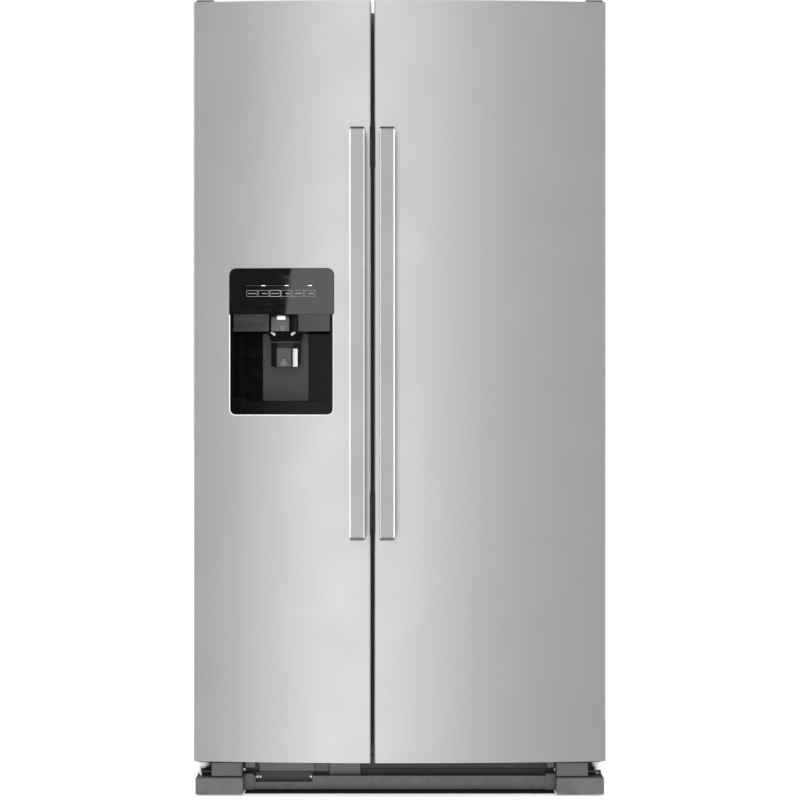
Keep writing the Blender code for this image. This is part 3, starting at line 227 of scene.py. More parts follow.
def moulded(name, shade, rough, grain=900.0, depth=0.00002, spread=0.12, dust=0.0):
    """Moulded plastic or paint: fine texture, uneven tone, and dust towards the floor."""
    look = Look(name)
    broad = look.noise(6.0, 4.0)
    fine = look.noise(grain, 2.0)
    wear = look.noise(45.0, 6.0)
    worn = look.level(wear, 0.58, 0.78)
    colour_now = look.between(
        look.level(broad * 0.7 + fine * 0.3, 0.3, 0.7),
        scaled(shade, 1 - spread),
        scaled(shade, 1 + spread),
    )
    if dust:
        film = look.level(look.height(), 0.06, 0.0) * look.level(wear, 0.35, 0.7) * dust
        sockets = {0: film, 6: colour_now, 7: (0.35, 0.34, 0.32, 1)}
        colour_now = look.node("ShaderNodeMix", {"data_type": "RGBA"}, sockets, 2)
    return look.finish(
        Base_Color=colour_now,
        Roughness=look.level(broad * 0.6 + worn * 0.4, 0.2, 0.8, rough - 0.05, rough + 0.07),
        Normal=look.bump(fine, depth),
    )


def glossy(name, shade, rough, ior=1.5, waviness=0.000004):
    """Polished black plastic with faint wiping marks."""
    look = Look(name)
    wipes = look.noise(30.0, 6.0, (1, 1, 3))
    ripple = look.noise(16.0, 1.0)
    return look.finish(
        Base_Color=look.between(look.level(wipes, 0.4, 0.75), shade, scaled(shade, 1.7)),
        Roughness=look.level(wipes, 0.45, 0.75, rough, rough + 0.05),
        Normal=look.bump(ripple, waviness),
        IOR=ior,
    )


def see_through(name, shade, alpha, rough, frost=0.0):
    """Clear plastic or glass, a little denser where it is scuffed."""
    look = Look(name)
    haze = look.noise(14.0, 5.0)
    scuff = look.noise(160.0, 3.0, (1, 1, 6))
    return look.finish(
        Base_Color=look.between(look.level(haze, 0.3, 0.7), scaled(shade, 0.94), shade),
        Roughness=look.level(haze + scuff * 0.4, 0.4, 1.0, rough, rough + 0.08 + frost),
        Alpha=look.level(haze * 0.7 + scuff * 0.3, 0.3, 0.7, alpha - 0.04, alpha + 0.05),
        Normal=look.bump(scuff, 0.000004),
    )


def glowing(name, shade, strength):
    look = Look(name)
    cell = look.noise(400.0, 2.0)
    return look.finish(
        Base_Color=look.between(look.level(cell, 0.3, 0.7), scaled(shade, 0.9), shade),
        Roughness=look.level(cell, 0.3, 0.7, 0.25, 0.4),
        Emission_Color=look.between(look.level(cell, 0.3, 0.7), scaled(shade, 0.85), shade),
        Emission_Strength=strength,
    )


def foamed(name, shade):
    look = Look(name)
    bubbles = look.cells(700.0)
    patch = look.noise(12.0, 4.0)
    return look.finish(
        Base_Color=look.between(look.level(patch, 0.3, 0.7), scaled(shade, 0.86), shade),
        Roughness=look.level(patch, 0.3, 0.7, 0.85, 0.95),
        Normal=look.bump(bubbles, 0.0002),
    )


LOOKS = {
    "brushed_stainless": lambda n: brushed(n, tint("stainless"), 0.34, 1500.0, 9.0, 0.0000015),
    "satin_handle": lambda n: brushed(n, tint("handle"), 0.30, 1100.0, 14.0, 0.000002),
    "cabinet_enamel": lambda n: moulded(n, tint("cabinet"), 0.46, 520.0, 0.00006, 0.06, 0.25),
    "plated_steel": lambda n: brushed(n, tint("hinge"), 0.38, 260.0, 60.0, 0.000004),
    "frame_paint": lambda n: moulded(n, (0.022, 0.022, 0.022), 0.5, 420.0, 0.00004, 0.2, 0.3),
    "base_moulding": lambda n: moulded(n, tint("base"), 0.48, 700.0, 0.00003, 0.04, 0.2),
    # Near-black foam for the strips under the grille: painted shadow.
    "shadow_foam": lambda n: foamed(n, (0.003, 0.003, 0.003)),
    # A darker copy of the base moulding: painted shade on the feet and hinge blocks.
    "foot_moulding": lambda n: moulded(
        n, scaled(tint("base"), 0.90), 0.48, 700.0, 0.00003, 0.06, 0.2
    ),
    # A lighter copy of the base moulding: painted light against the doors' shade on the rail.
    "rail_moulding_lit": lambda n: moulded(
        n, scaled(tint("base"), 1.45), 0.48, 700.0, 0.00003, 0.06, 0.2
    ),
    # A lighter copy of the frame paint: painted light against the doors' shade on the rail.
    "rail_paint_lit": lambda n: moulded(n, (0.054, 0.054, 0.054), 0.5, 420.0, 0.00004, 0.15),
    "cover_moulding": lambda n: moulded(n, (0.115, 0.115, 0.117), 0.45, 800.0, 0.00003, 0.08),
    "machine_enamel": lambda n: moulded(n, (0.018, 0.018, 0.019), 0.32, 300.0, 0.00005, 0.25, 0.3),
    "white_moulding": lambda n: moulded(n, (0.74, 0.74, 0.72), 0.42, 700.0, 0.00002, 0.05),
    "liner_plastic": lambda n: moulded(n, tint("liner"), 0.30, 650.0, 0.000015, 0.03),
    "clear_drawer": lambda n: see_through(n, (0.84, 0.88, 0.90), 0.42, 0.10),
    "shelf_glass": lambda n: see_through(n, (0.74, 0.84, 0.82), 0.36, 0.04),
    "insulation": lambda n: foamed(n, (0.80, 0.70, 0.42)),
    "door_gasket": lambda n: moulded(n, (0.34, 0.34, 0.34), 0.6, 350.0, 0.00005, 0.12),
    "black_rubber": lambda n: moulded(n, (0.035, 0.035, 0.035), 0.65, 500.0, 0.00006, 0.2, 0.5),
    "dispenser_gloss": lambda n: glossy(n, scaled(tint("black"), 0.4), 0.10, 1.21),
    "panel_gloss": lambda n: glossy(n, tint("black"), 0.02, 1.58, 0.0),
    "hood_satin": lambda n: glossy(n, (0.013, 0.013, 0.014), 0.18, 1.60, 0.0),
    # Bright metal for the handles' edge facets: painted highlights.
    "edge_highlight_metal": lambda n: brushed(n, (0.80, 0.80, 0.80), 0.24, 900.0, 900.0, 0.000001),
    "faint_mark": lambda n: moulded(n, (0.075, 0.075, 0.077), 0.4, 900.0, 0.000004, 0.06),
    "dispenser_satin": lambda n: moulded(n, tint("grey"), 0.33, 900.0, 0.00001, 0.08),
    "pad_satin": lambda n: moulded(n, (0.062, 0.062, 0.063), 0.30, 900.0, 0.00001, 0.08),
    "water_pad_satin": lambda n: moulded(n, (0.108, 0.108, 0.109), 0.30, 900.0, 0.00001, 0.08),
    "printed_mark": lambda n: moulded(n, tint("mark"), 0.4, 900.0, 0.000004, 0.06),
    "bright_mark": lambda n: moulded(n, (0.80, 0.81, 0.82), 0.35, 900.0, 0.000004, 0.04),
    # White plastic for the cam, tube and cone; on the dispenser it also paints highlights.
    "pale_plastic_and_highlights": lambda n: moulded(n, (0.80, 0.80, 0.79), 0.3, 900.0, 0.00001, 0.04),
    "indicator_light": lambda n: glowing(n, (0.95, 0.97, 1.0), 1.2),
    "work_light": lambda n: glowing(n, (0.93, 0.95, 0.95), 0.55),
    "screw_steel": lambda n: brushed(n, (0.58, 0.58, 0.57), 0.26, 500.0, 500.0, 0.000003),
    "copper_tube": lambda n: brushed(n, (0.62, 0.33, 0.20), 0.34, 200.0, 200.0, 0.00001),
}
SLOT_LOOKS = {
    "stainless": "brushed_stainless",
    "handle_metal": "satin_handle",
    "cabinet_paint": "cabinet_enamel",
    "hinge_steel": "plated_steel",
    "frame_steel": "frame_paint",
    "machine_black": "machine_enamel",
    "dark_plastic": "base_moulding",
    "white_plastic": "white_moulding",
    "liner_plastic": "liner_plastic",
    "clear_plastic": "clear_drawer",
    "shelf_glass": "shelf_glass",
    "foam": "insulation",
    "gasket": "door_gasket",
    "black_rubber": "black_rubber",
    "dispenser_black": "dispenser_gloss",
    "pad_grey": "pad_satin",
}


def material(name):
    return bpy.data.materials.get(name) or LOOKS[name](name)


# ---- Modelling by operators ----------------------------------------------------------------------
def select_only(*objs):
    bpy.ops.object.select_all(action="DESELECT")
    for obj in objs:
        obj.select_set(True)
    bpy.context.view_layer.objects.active = objs[0]


def edit(obj):
    select_only(obj)
    bpy.ops.object.mode_set(mode="EDIT")
    bpy.ops.mesh.select_mode(type="FACE")
    bpy.ops.mesh.select_all(action="SELECT")


def leave():
    bpy.ops.object.mode_set(mode="OBJECT")


def pick_faces(obj, test):
    """Selects only the faces whose centre and normal pass the test."""
    bpy.ops.mesh.select_mode(type="FACE")
    bpy.ops.mesh.select_all(action="DESELECT")
    mesh = bmesh.from_edit_mesh(obj.data)
    for face in mesh.faces:
        face.select_set(test(face.calc_center_median(), face.normal))
    bmesh.update_edit_mesh(obj.data)


def pick_edges(obj, test):
    """Selects only the edges whose two ends pass the test."""
    bpy.ops.mesh.select_mode(type="EDGE")
    bpy.ops.mesh.select_all(action="DESELECT")
    mesh = bmesh.from_edit_mesh(obj.data)
    for edge in mesh.edges:
        edge.select_set(test(*(vert.co for vert in edge.verts)))
    bmesh.update_edit_mesh(obj.data)


def settle(obj, place=None):
    """Puts the object's place into its mesh, turned from a local frame where one is given."""
    select_only(obj)
    if place is not None:
        obj.matrix_world = place @ obj.matrix_world
    bpy.ops.object.transform_apply(location=True, rotation=True, scale=True)
    return obj


def modify(obj, kind, **settings):
    select_only(obj)
    bpy.ops.object.modifier_add(type=kind)
    for name, value in settings.items():
        setattr(obj.modifiers[-1], name, value)
    bpy.ops.object.modifier_apply(modifier=obj.modifiers[-1].name)


def keep(obj, body, look, replaces=(), soften=True):
    """Gives a piece its smooth shading, material and body."""
    select_only(obj)
    bpy.ops.object.shade_smooth_by_angle(angle=SMOOTH)
    if soften:
        modify(obj, "WEIGHTED_NORMAL", keep_sharp=True, weight=80)
    obj.data.materials.clear()
    obj.data.materials.append(material(look))
    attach(obj, body)
    if replaces:
        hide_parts(*replaces)
    return obj


def rounded_edges(obj, width, segments=2, angle=30):
    modify(
        obj,
        "BEVEL",
        width=width,
        segments=segments,
        limit_method="ANGLE",
        angle_limit=math.radians(angle),
        miter_outer="MITER_ARC",
    )


def body_of(node):
    return frame["nodes"][node]["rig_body"]


def restyled(node, edge, look=None, segments=2, angle=30, tools=()):
    """A node's merged, rounded copy, less the tools' shapes, which stands for the node."""
    obj = bpy.data.objects.new(node + "_finished", frame["nodes"][node].data.copy())
    bpy.context.scene.collection.objects.link(obj)
    select_only(obj)
    bpy.ops.mesh.customdata_custom_splitnormals_clear()
    edit(obj)
    bpy.ops.mesh.remove_doubles(threshold=MERGE)
    if node not in PIERCED:
        bpy.ops.mesh.dissolve_limited(angle_limit=FLAT)
    leave()
    if edge and node not in PIERCED:
        rounded_edges(obj, edge, segments, angle)
    if tools:
        cutter = joined("cutter", *tools)
        modify(obj, "BOOLEAN", object=cutter, operation="DIFFERENCE", solver="EXACT")
        bpy.data.objects.remove(cutter)
    slot = SLOT_OF[node]
    return keep(obj, body_of(node), look or SLOT_LOOKS[slot], (node,))


def slab(name, low, high, edge, place=None, taper=None, segments=2):
    """A cube at its size and place, one face tapered, all its edges rounded."""
    low, high = Vector(low), Vector(high)
    bpy.ops.object.select_all(action="DESELECT")
    bpy.ops.mesh.primitive_cube_add(size=1, location=(low + high) / 2)
    obj = bpy.context.object
    obj.name = name
    obj.scale = high - low
    settle(obj)
    if taper:
        axis, factor = taper
        edit(obj)
        pick_faces(obj, lambda centre, normal: normal.dot(Vector(axis)) > 0.9)
        bpy.ops.transform.resize(value=factor)
        leave()
    if edge:
        rounded_edges(obj, edge, segments)
    return settle(obj, place)


def disc(name, centre, axis, radius, depth, edge, place=None, sides=24):
    """A short round bar along an axis, its rims rounded."""
    turn = {"X": (0, math.pi / 2, 0), "Y": (math.pi / 2, 0, 0), "Z": (0, 0, 0)}[axis]
    bpy.ops.object.select_all(action="DESELECT")
    bpy.ops.mesh.primitive_cylinder_add(
        vertices=sides, radius=radius, depth=depth, location=centre, rotation=turn
    )
    obj = bpy.context.object
    obj.name = name
    settle(obj)
    if edge:
        rounded_edges(obj, edge, 2, 50)
    return settle(obj, place)


def ring_frame(name, low, high, line, place=None, corner=0.0, foot=1.0):
    """A flat outline that faces the user, made by insetting a slab's faces and bridging them."""
    obj = slab(name, low, high, 0, taper=((0, 0, -1), (foot, 1, 1)))
    edit(obj)
    if corner:
        limit = (Vector(low).z + Vector(high).z) / 2
        pick_edges(obj, lambda a, b: abs(a.y - b.y) > 1e-6 and max(a.z, b.z) < limit)
        bpy.ops.mesh.bevel(offset=corner, segments=6, affect="EDGES")
    pick_faces(obj, lambda centre, normal: normal.y < -0.9 or normal.y > 0.9)
    bpy.ops.mesh.inset(thickness=line, use_even_offset=True)
    bpy.ops.mesh.bridge_edge_loops()
    leave()
    return settle(obj, place)


def joined(name, *objs):
    select_only(*objs)
    bpy.ops.object.join()
    objs[0].name = name
    return objs[0]


def screw(name, centre, axis="Y", inwards=1):
    """A pan-head screw with a cross recess, its head's face towards -inwards on the axis."""
    radius = sizes().screw_head
    obj = disc(name, (0, 0, 0), "Z", radius, radius * 0.7, radius * 0.22, sides=20)
    edit(obj)
    pick_faces(obj, lambda centre, normal: normal.z > 0.9 and centre.length > radius * 0.2)
    bpy.ops.mesh.inset(thickness=radius * 0.45, use_even_offset=True)
    bpy.ops.mesh.extrude_region_move(TRANSFORM_OT_translate={"value": (0, 0, -radius * 0.3)})
    leave()
    turn = {
        "Y": Matrix.Rotation(inwards * math.pi / 2, 4, "X"),
        "Z": Matrix.Rotation(0 if inwards < 0 else math.pi, 4, "X"),
    }[axis]
    return settle(obj, Matrix.Translation(centre) @ turn)


# ---- Places --------------------------------------------------------------------------------------
def middle(node):
    low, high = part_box(node)
    return (low + high) / 2


def dispenser_place():
    """The dispenser's own frame: X across, Y into the door, Z up from the alcove's sill."""
    inwards = Vector(JOINT_OF["control_key_1_press"]["axis"])
    turn = Matrix.Rotation(math.atan2(-inwards.x, inwards.y), 4, "Z")
    centre = (middle(KEYS[2]) + middle(KEYS[3])) / 2
    return Matrix.Translation(centre) @ turn @ Matrix.Translation((0.001, -0.00135, -0.2384))


# ---- Doors ---------------------------------------------------------------------------------------
class BuildDoors(bpy.types.Operator):
    """Finish both door skins, foams, liners and gaskets"""

    bl_idname = "refrigerator.doors"
    bl_label = "Doors"

    def execute(self, context):
        for kind in ("freezer", "fridge"):
            restyled(f"{kind}_door_skin", sizes().sheet_edge, segments=3)
            restyled(f"{kind}_door_foam", 0)
            restyled(f"{kind}_door_liner", 0.002, segments=3)
            self.gasket(kind)
            self.fold_lines(kind)
        return {"FINISHED"}

    def gasket(self, kind):
        """The magnetic seal with its folded bellows, grooved all round."""
        node = f"{kind}_door_gasket"
        obj = restyled(node, 0.0008)
        low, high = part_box(node)
        for index, share in enumerate((0.32, 0.62)):
            y = low.y + (high.y - low.y) * share
            fold = ring_frame(
                f"{kind}_gasket_fold_{index + 1}",
                (low.x - 0.0008, y - 0.0007, low.z - 0.0008),
                (high.x + 0.0008, y + 0.0007, high.z + 0.0008),
                0.0020,
            )
            keep(fold, f"{kind}_door", "door_gasket")
        return obj

    def fold_lines(self, kind):
        """The skin's bottom hem, a thin return under the door."""
        low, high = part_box(f"{kind}_door_skin")
        hem = slab(
            f"{kind}_door_hem",
            (low.x + 0.004, low.y + 0.030, low.z - 0.0009),
            (high.x - 0.004, high.y - 0.006, low.z + 0.0002),
            0.0003,
        )
        keep(hem, f"{kind}_door", "frame_paint")


class BuildHandles(bpy.types.Operator):
    """Finish both handles and their end caps"""

    bl_idname = "refrigerator.handles"
    bl_label = "Handles"

    def execute(self, context):
        for kind in ("freezer", "fridge"):
            node = f"{kind}_door_handle"
            self.edges(restyled(node, 0.0002, segments=1))
            low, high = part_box(node)
            for end, z in (("lower", low.z), ("upper", high.z)):
                inward = 1 if end == "lower" else -1
                z0, z1 = sorted((z + inward * 0.0022, z + inward * 0.0278))
                base = slab(
                    f"{kind}_handle_{end}_foot",
                    (low.x + 0.0022, high.y - 0.0035, z0),
                    (high.x - 0.0022, high.y - 0.0008, z1),
                    0.0006,
                )
                keep(base, f"{kind}_door", "frame_paint")
        return {"FINISHED"}

    def edges(self, handle):
        """Bright metal on the facets down both long edges, painted highlights, and a dark one across the
        top.
        """
        for look in ("edge_highlight_metal", "frame_paint"):
            handle.data.materials.append(material(look))
        for polygon in handle.data.polygons:
            normal = polygon.normal
            if normal.y < -0.3 and 0.3 < abs(normal.x) and abs(normal.z) < 0.5:
                polygon.material_index = 1
            elif normal.y < -0.3 and normal.z > 0.5:
                polygon.material_index = 2


# ---- Cabinet -------------------------------------------------------------------------------------
class BuildCabinet(bpy.types.Operator):
    """Finish the cabinet's shell, back, liners, hinges and base frame"""

    bl_idname = "refrigerator.cabinet"
    bl_label = "Cabinet"

    def execute(self, context):
        restyled("cabinet_shell", sizes().pressed_edge)
        restyled("service_cover", 0)
        self.back()
        restyled("cabinet_foam", 0)
        for node in ("freezer_liner", "fridge_liner"):
            restyled(node, 0.0012)
        for side in ("left", "right"):
            restyled(f"upper_hinge_{side}", 0.0003)
            restyled(f"lower_hinge_{side}", 0.0003, "rail_paint_lit")
        for node in ("hinge_cover_left", "hinge_cover_right"):
            restyled(node, 0.0006, "cover_moulding")
        restyled("base_frame", 0.0003)
        return {"FINISHED"}

    def back(self):
        """The back sheet with shallow swages across it and screws sunk in its rim."""
        low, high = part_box("back_panel")
        tools = []
        for index in range(4):
            z = low.z + (high.z - low.z) * (index + 1) / 5
            near = (low.x + 0.060, high.y - 0.0014, z - 0.011)
            far = (high.x - 0.060, high.y + 0.0020, z + 0.011)
            tools.append(slab(f"swage_{index + 1}", near, far, 0.0007))
        spots = [
            (x, low.z + (high.z - low.z) * share)
            for share in (0.03, 0.27, 0.5, 0.73, 0.97)
            for x in (low.x + 0.014, high.x - 0.014)
        ]
        well = sizes().screw_head * 1.4
        for index, (x, z) in enumerate(spots):
            tools.append(disc(f"well_{index + 1}", (x, high.y, z), "Y", well, 0.0044, 0))
            obj = screw(f"back_panel_screw_{index + 1}", (x, high.y - 0.0021, z), inwards=-1)
            keep(obj, "cabinet", "screw_steel")
        restyled("back_panel", sizes().pressed_edge, tools=tools)


class BuildBase(bpy.types.Operator):
    """Finish the base trim, feet, rollers and the small parts under the doors"""

    bl_idname = "refrigerator.base"
    bl_label = "Base"

    def execute(self, context):
        restyled("base_grille", sizes().moulded_edge, "base_moulding", 3)
        for node in ("foot_cover_left", "foot_cover_right"):
            restyled(node, sizes().moulded_edge, "foot_moulding", 3)
        for node in (
            "levelling_foot_left",
            "levelling_foot_right",
            "rear_roller_left",
            "rear_roller_right",
        ):
            restyled(node, 0.0004)
        self.front_rail()
        self.hinge_blocks()
        self.left_cam()
        self.right_cone()
        self.roller_hubs()
        return {"FINISHED"}

    def plate(self, name, x0, x1, z0, z1, y0, y1, look="base_moulding", edge=0.0008):
        obj = slab(name, (x0, y0, z0), (x1, y1, z1), edge)
        return keep(obj, "cabinet", look)

    def front_rail(self):
        """The rail behind the grille: a dark channel with grey blocks, both painted lighter against the
        doors' shade, a black strip under the grille that is painted shadow, and screws.
        """
        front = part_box("cabinet_shell")[0].y
        low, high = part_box("base_grille")
        x0, x1 = low.x + 0.002, high.x - 0.002
        # The dark and grey looks here are lighter copies of the frame paint and base moulding: painted
        # light against the doors' shade.
        dark, grey, block, seal = "rail_paint_lit", "rail_moulding_lit", "cover_moulding", "shadow_foam"
        sheet, seam = (front - 0.0016, front - 0.0004), front - 0.0017
        for row in (
            ("rail_channel", x0, x1, 0.0335, 0.0740, *sheet, dark, 0.0003),
            ("notch_back", -0.3230, -0.1930, 0.0205, 0.0400, -0.2860, -0.2820, dark, 0.0003),
            ("rail_block_left", -0.3148, -0.1901, 0.0384, 0.0610, front - 0.0080, seam, grey),
            ("rail_block_dark", -0.1897, -0.1583, 0.0400, 0.0610, front - 0.0120, seam, block, 0.003),
            ("rail_block_centre", -0.1576, -0.0880, 0.0345, 0.0610, front - 0.0080, seam, grey),
            ("rail_lip", -0.0875, 0.3440, 0.0432, 0.0460, front - 0.0040, seam, "frame_paint", 0.0004),
            # Black foam strips under the grille: painted shadow on the floor in front of the base.
            ("grille_shadow_strip", -0.3290, 0.3310, 0.0004, 0.0046, -0.3235, -0.2930, seal),
            ("grille_shadow_end_left", -0.3430, -0.3292, 0.0004, 0.0046, -0.3235, -0.3045, seal),
            ("grille_shadow_end_right", 0.3312, 0.3430, 0.0004, 0.0046, -0.3235, -0.3045, seal),
            ("rail_end_left", -0.3464, -0.3430, 0.0402, 0.0740, *sheet, dark, 0.0003),
            ("rail_end_right", 0.3430, 0.3464, 0.0402, 0.0740, *sheet, dark, 0.0003),
        ):
            self.plate(*row)
        for index, x in enumerate((-0.3185, -0.3120, -0.1985)):
            obj = screw(f"rail_screw_{index + 1}", (x, -0.2870, 0.0292))
            keep(obj, "cabinet", "screw_steel")

    def hinge_blocks(self):
        """The grey blocks beside the lower hinges, and under each a dark sheet that is painted shadow in
        the gap above the foot cover.
        """
        for side, word in ((-1, "left"), (1, "right")):
            near, far = (0.3486, 0.4150) if side < 0 else (0.3463, 0.4150)
            x0, x1 = sorted((side * near, side * far))
            high, shadow_sheet = (0.0420, 0.0722, -0.3370, -0.2990), (0.0399, 0.0414, -0.3425, -0.2760)
            self.plate(f"hinge_block_{word}", x0, x1, *high, "foot_moulding")
            x0, x1 = sorted((side * 0.3470, side * 0.4485))
            # A dark sheet in the gap between foot cover and block: painted shadow.
            self.plate(f"foot_gap_shadow_{word}", x0, x1, *shadow_sheet, "frame_paint", 0.0005)
        tab = (0.0530, 0.0650, -0.3000, -0.2760, "rail_moulding_lit")
        self.plate("hinge_tab_left", -0.3440, -0.3225, *tab)
        self.plate("hinge_tab_right", 0.3290, 0.3440, *tab)

    def left_cam(self):
        """The white closing cam with the water tube that leaves it."""
        x, y = -0.4355, -0.305
        bowl = disc("closing_cam_bowl", (x - 0.0015, y, 0.0640), "Z", 0.0150, 0.0110, 0.0020)
        edit(bowl)
        pick_faces(bowl, lambda centre, normal: normal.z < -0.9)
        bpy.ops.transform.resize(value=(0.62, 0.62, 1))
        bpy.ops.mesh.extrude_region_move(TRANSFORM_OT_translate={"value": (0, 0, -0.0035)})
        bpy.ops.transform.resize(value=(0.8, 0.8, 1))
        leave()
        keep(bowl, "cabinet", "pale_plastic_and_highlights")
        self.water_tube(x)

    def water_tube(self, x):
        """The thin tube that leaves the cam and curves down into the base."""
        tube = disc("water_tube", (x - 0.0070, -0.3215, 0.0570), "Z", sizes().tube, 0.0060, 0)
        edit(tube)
        pick_faces(tube, lambda centre, normal: normal.z < -0.9)
        for across, tilt in ((0.0004, 6), (0.0012, 9), (0.0022, 9), (0.0030, 4)):
            bpy.ops.mesh.extrude_region_move(TRANSFORM_OT_translate={"value": (across, 0, -0.0052)})
            mesh = bmesh.from_edit_mesh(tube.data)
            spots = [vert.co for vert in mesh.verts if vert.select]
            centre = sum(spots, Vector()) / len(spots)
            bpy.ops.transform.rotate(
                value=math.radians(tilt),
                orient_axis="Y",
                orient_type="GLOBAL",
                center_override=centre,
            )
        leave()
        keep(tube, "cabinet", "pale_plastic_and_highlights")

    def right_cone(self):
        """The stepped white cone on the right hinge's pin."""
        x, y = 0.4355, -0.305
        cone = disc("hinge_pin_cone", (x + 0.0030, y, 0.0660), "Z", 0.0120, 0.0060, 0.0010)
        edit(cone)
        pick_faces(cone, lambda centre, normal: normal.z < -0.9)
        steps = ((0.8, -0.006), (0.72, -0.008), (0.5, -0.009))
        for shrink, drop in [half for step in steps for half in ((step[0], 0.0), (1.0, step[1]))]:
            bpy.ops.mesh.extrude_region_move(TRANSFORM_OT_translate={"value": (0, 0, drop)})
            bpy.ops.transform.resize(value=(shrink, shrink, 1))
        leave()
        keep(cone, "cabinet", "pale_plastic_and_highlights")

    def roller_hubs(self):
        for side in ("left", "right"):
            low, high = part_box(f"rear_roller_{side}")
            centre = (low + high) / 2
            width = high.x - low.x + 0.0008
            hub = disc(f"rear_roller_hub_{side}", centre, "X", 0.0085, width, 0.0008)
            keep(hub, f"rear_roller_{side}", "white_moulding")


# ---- Dispenser -----------------------------------------------------------------------------------
class BuildDispenser(bpy.types.Operator):
    """Finish the dispenser's housing, panel, keys and pads"""

    bl_idname = "refrigerator.dispenser"
    bl_label = "Dispenser"

    def execute(self, context):
        restyled("dispenser_housing", 0.0012, segments=3)
        restyled("control_panel", 0.0010, "panel_gloss", 3)
        for node in KEYS:
            restyled(node, 0.0003, "panel_gloss")
        restyled("water_pad", 0.0008, "water_pad_satin")
        restyled("ice_pad", 0.0008, "pad_satin")
        place = dispenser_place()
        self.panel_marks(place)
        self.key_marks(place)
        self.alcove_parts(place)
        self.pad_marks(place)
        return {"FINISHED"}

    def local(self, name, low, high, edge, place, look, slot, body="freezer_door", **more):
        obj = slab(name, low, high, edge, place, **more)
        return keep(obj, body, look)

    def panel_marks(self, place):
        low, high = (-0.0779, -PROUD, 0.2542), (0.0761, 0.0006, 0.2551)
        self.local("panel_line", low, high, 0.0001, place, "faint_mark", "pad_grey")
        half, rise = sizes().indicator * 4, sizes().indicator * 0.5
        for index, x in enumerate((-0.0396, 0.0117, 0.0630)):
            self.local(
                f"indicator_{index + 1}",
                (x - half, -0.0005, 0.25465 - rise),
                (x + half, 0.0006, 0.25465 + rise),
                rise * 0.45,
                place,
                "indicator_light",
                "white_plastic",
            )
        # A pale outline round the dispenser: painted highlight on the stainless fold.
        low, high = (-0.1151, -0.0006, -0.0301), (0.1151, 0.0012, 0.2050)
        trim = ring_frame("bezel_trim", low, high, 0.0021, corner=0.0140)
        edit(trim)
        bpy.ops.mesh.select_all(action="SELECT")
        bpy.ops.mesh.bisect(
            plane_co=(0, 0, 0.1914), plane_no=(0, 0, 1), use_fill=True, clear_outer=True
        )
        leave()
        rounded_edges(trim, 0.0003)
        settle(trim, place)
        keep(trim, "freezer_door", "pale_plastic_and_highlights")

    def key_marks(self, place):
        """Each key's outline and a generic legend of short bars."""
        line = sizes().key_line
        for index, node in enumerate(KEYS):
            x = -0.0010 + (index - 2.5) * 0.0255
            low, high = Vector((x - 0.0117, -0.0005, 0.2306)), Vector((x + 0.0117, 0.0002, 0.2444))
            outline = ring_frame(f"key_outline_{index + 1}", low, high, line, place)
            keep(outline, node, "bright_mark" if index == 2 else "printed_mark")
            bars = []
            spans = ((-0.0078, -0.0040), (-0.0030, 0.0006), (0.0016, 0.0046), (0.0056, 0.0078))
            for number, (left, right) in enumerate(spans[index % 2 :]):
                bars.append(
                    slab(
                        f"legend_{index}_{number}",
                        (x + left, -0.00045, 0.2366),
                        (x + right, 0.0002, 0.2382),
                        0.0002,
                        place,
                    )
                )
            keep(joined(f"key_legend_{index + 1}", *bars), node, "printed_mark")

    def alcove_parts(self, place):
        hood, satin, grey = "hood_satin", "dispenser_satin", "pad_grey"
        black, lamp_look = ("dispenser_gloss", "dispenser_black"), ("work_light", "white_plastic")
        for name, low, high, edge, *look in (
            ("alcove_hood_left", (-0.1055, -0.0003, 0.1542), (-0.0272, 0.0030, 0.1920), 0.0006, hood, grey),
            ("alcove_hood_right", (0.0368, -0.0003, 0.1542), (0.1065, 0.0030, 0.1920), 0.0006, hood, grey),
            ("nozzle_guard", (0.0150, 0.0200, 0.1546), (0.0336, 0.0398, 0.1888), 0.0010, *black),
            ("alcove_back_panel", (-0.0519, 0.0825, 0.0006), (0.0510, 0.0848, 0.1530), 0.0008, satin, grey),
            ("alcove_back_ledge", (-0.0500, 0.0780, 0.0006), (0.0490, 0.0830, 0.0085), 0.0012, satin, grey),
            ("funnel_lip", (-0.0300, 0.0490, 0.1318), (0.0360, 0.0570, 0.1334), 0.0005, "pad_satin", grey),
            ("work_lamp", (-0.0125, 0.0215, 0.1815), (0.0060, 0.0256, 0.1886), 0.0012, *lamp_look),
        ):
            self.local(name, low, high, edge, place, *look)
        self.funnel_glints(place)
        # A white strip slanted beside the ice pad: painted highlight.
        white_highlight = slab("frame_highlight_strip", (-0.0062, -0.0008, 0.0780), (0.0062, 0.0008, 0.1180), 0.0005)
        turn = Matrix.Translation((0.0245, 0.0520, 0)) @ Matrix.Rotation(math.radians(-25), 4, "Z")
        keep(settle(white_highlight, place @ turn), "freezer_door", "pale_plastic_and_highlights")

    def funnel_glints(self, place):
        """Two slanted white plates under the nozzle: painted highlights on the chute."""
        for index, (x, slant) in enumerate(((-0.0235, -35), (0.0210, 35))):
            half = Vector((0.0060, 0.0008, 0.0028))
            glint_plate = slab(f"chute_highlight_{index + 1}", -half, half, 0.0004)
            turn = (
                Matrix.Translation((x, 0.0425, 0.1515))
                @ Matrix.Rotation(math.radians(-25), 4, "Z")
                @ Matrix.Rotation(math.radians(-slant), 4, "Y")
            )
            keep(settle(glint_plate, place @ turn), "freezer_door", "pale_plastic_and_highlights")

    def pad_marks(self, place):
        low, high = (-0.0052, 0.0257, 0.1572), (0.0030, 0.0262, 0.1672)
        glass = ring_frame("glass_mark", low, high, 0.0007, place, foot=0.7)
        keep(glass, "water_pad", "printed_mark")
        cubes = []
        for number, (x, z) in enumerate(((-0.0042, 0.0838), (0.0032, 0.0838), (-0.0005, 0.0908))):
            low, high = (x - 0.0031, 0.0467, z - 0.0030), (x + 0.0031, 0.0472, z + 0.0030)
            cubes.append(ring_frame(f"cube_{number}", low, high, 0.0006, place))
        keep(joined("cubes_mark", *cubes), "ice_pad", "printed_mark")


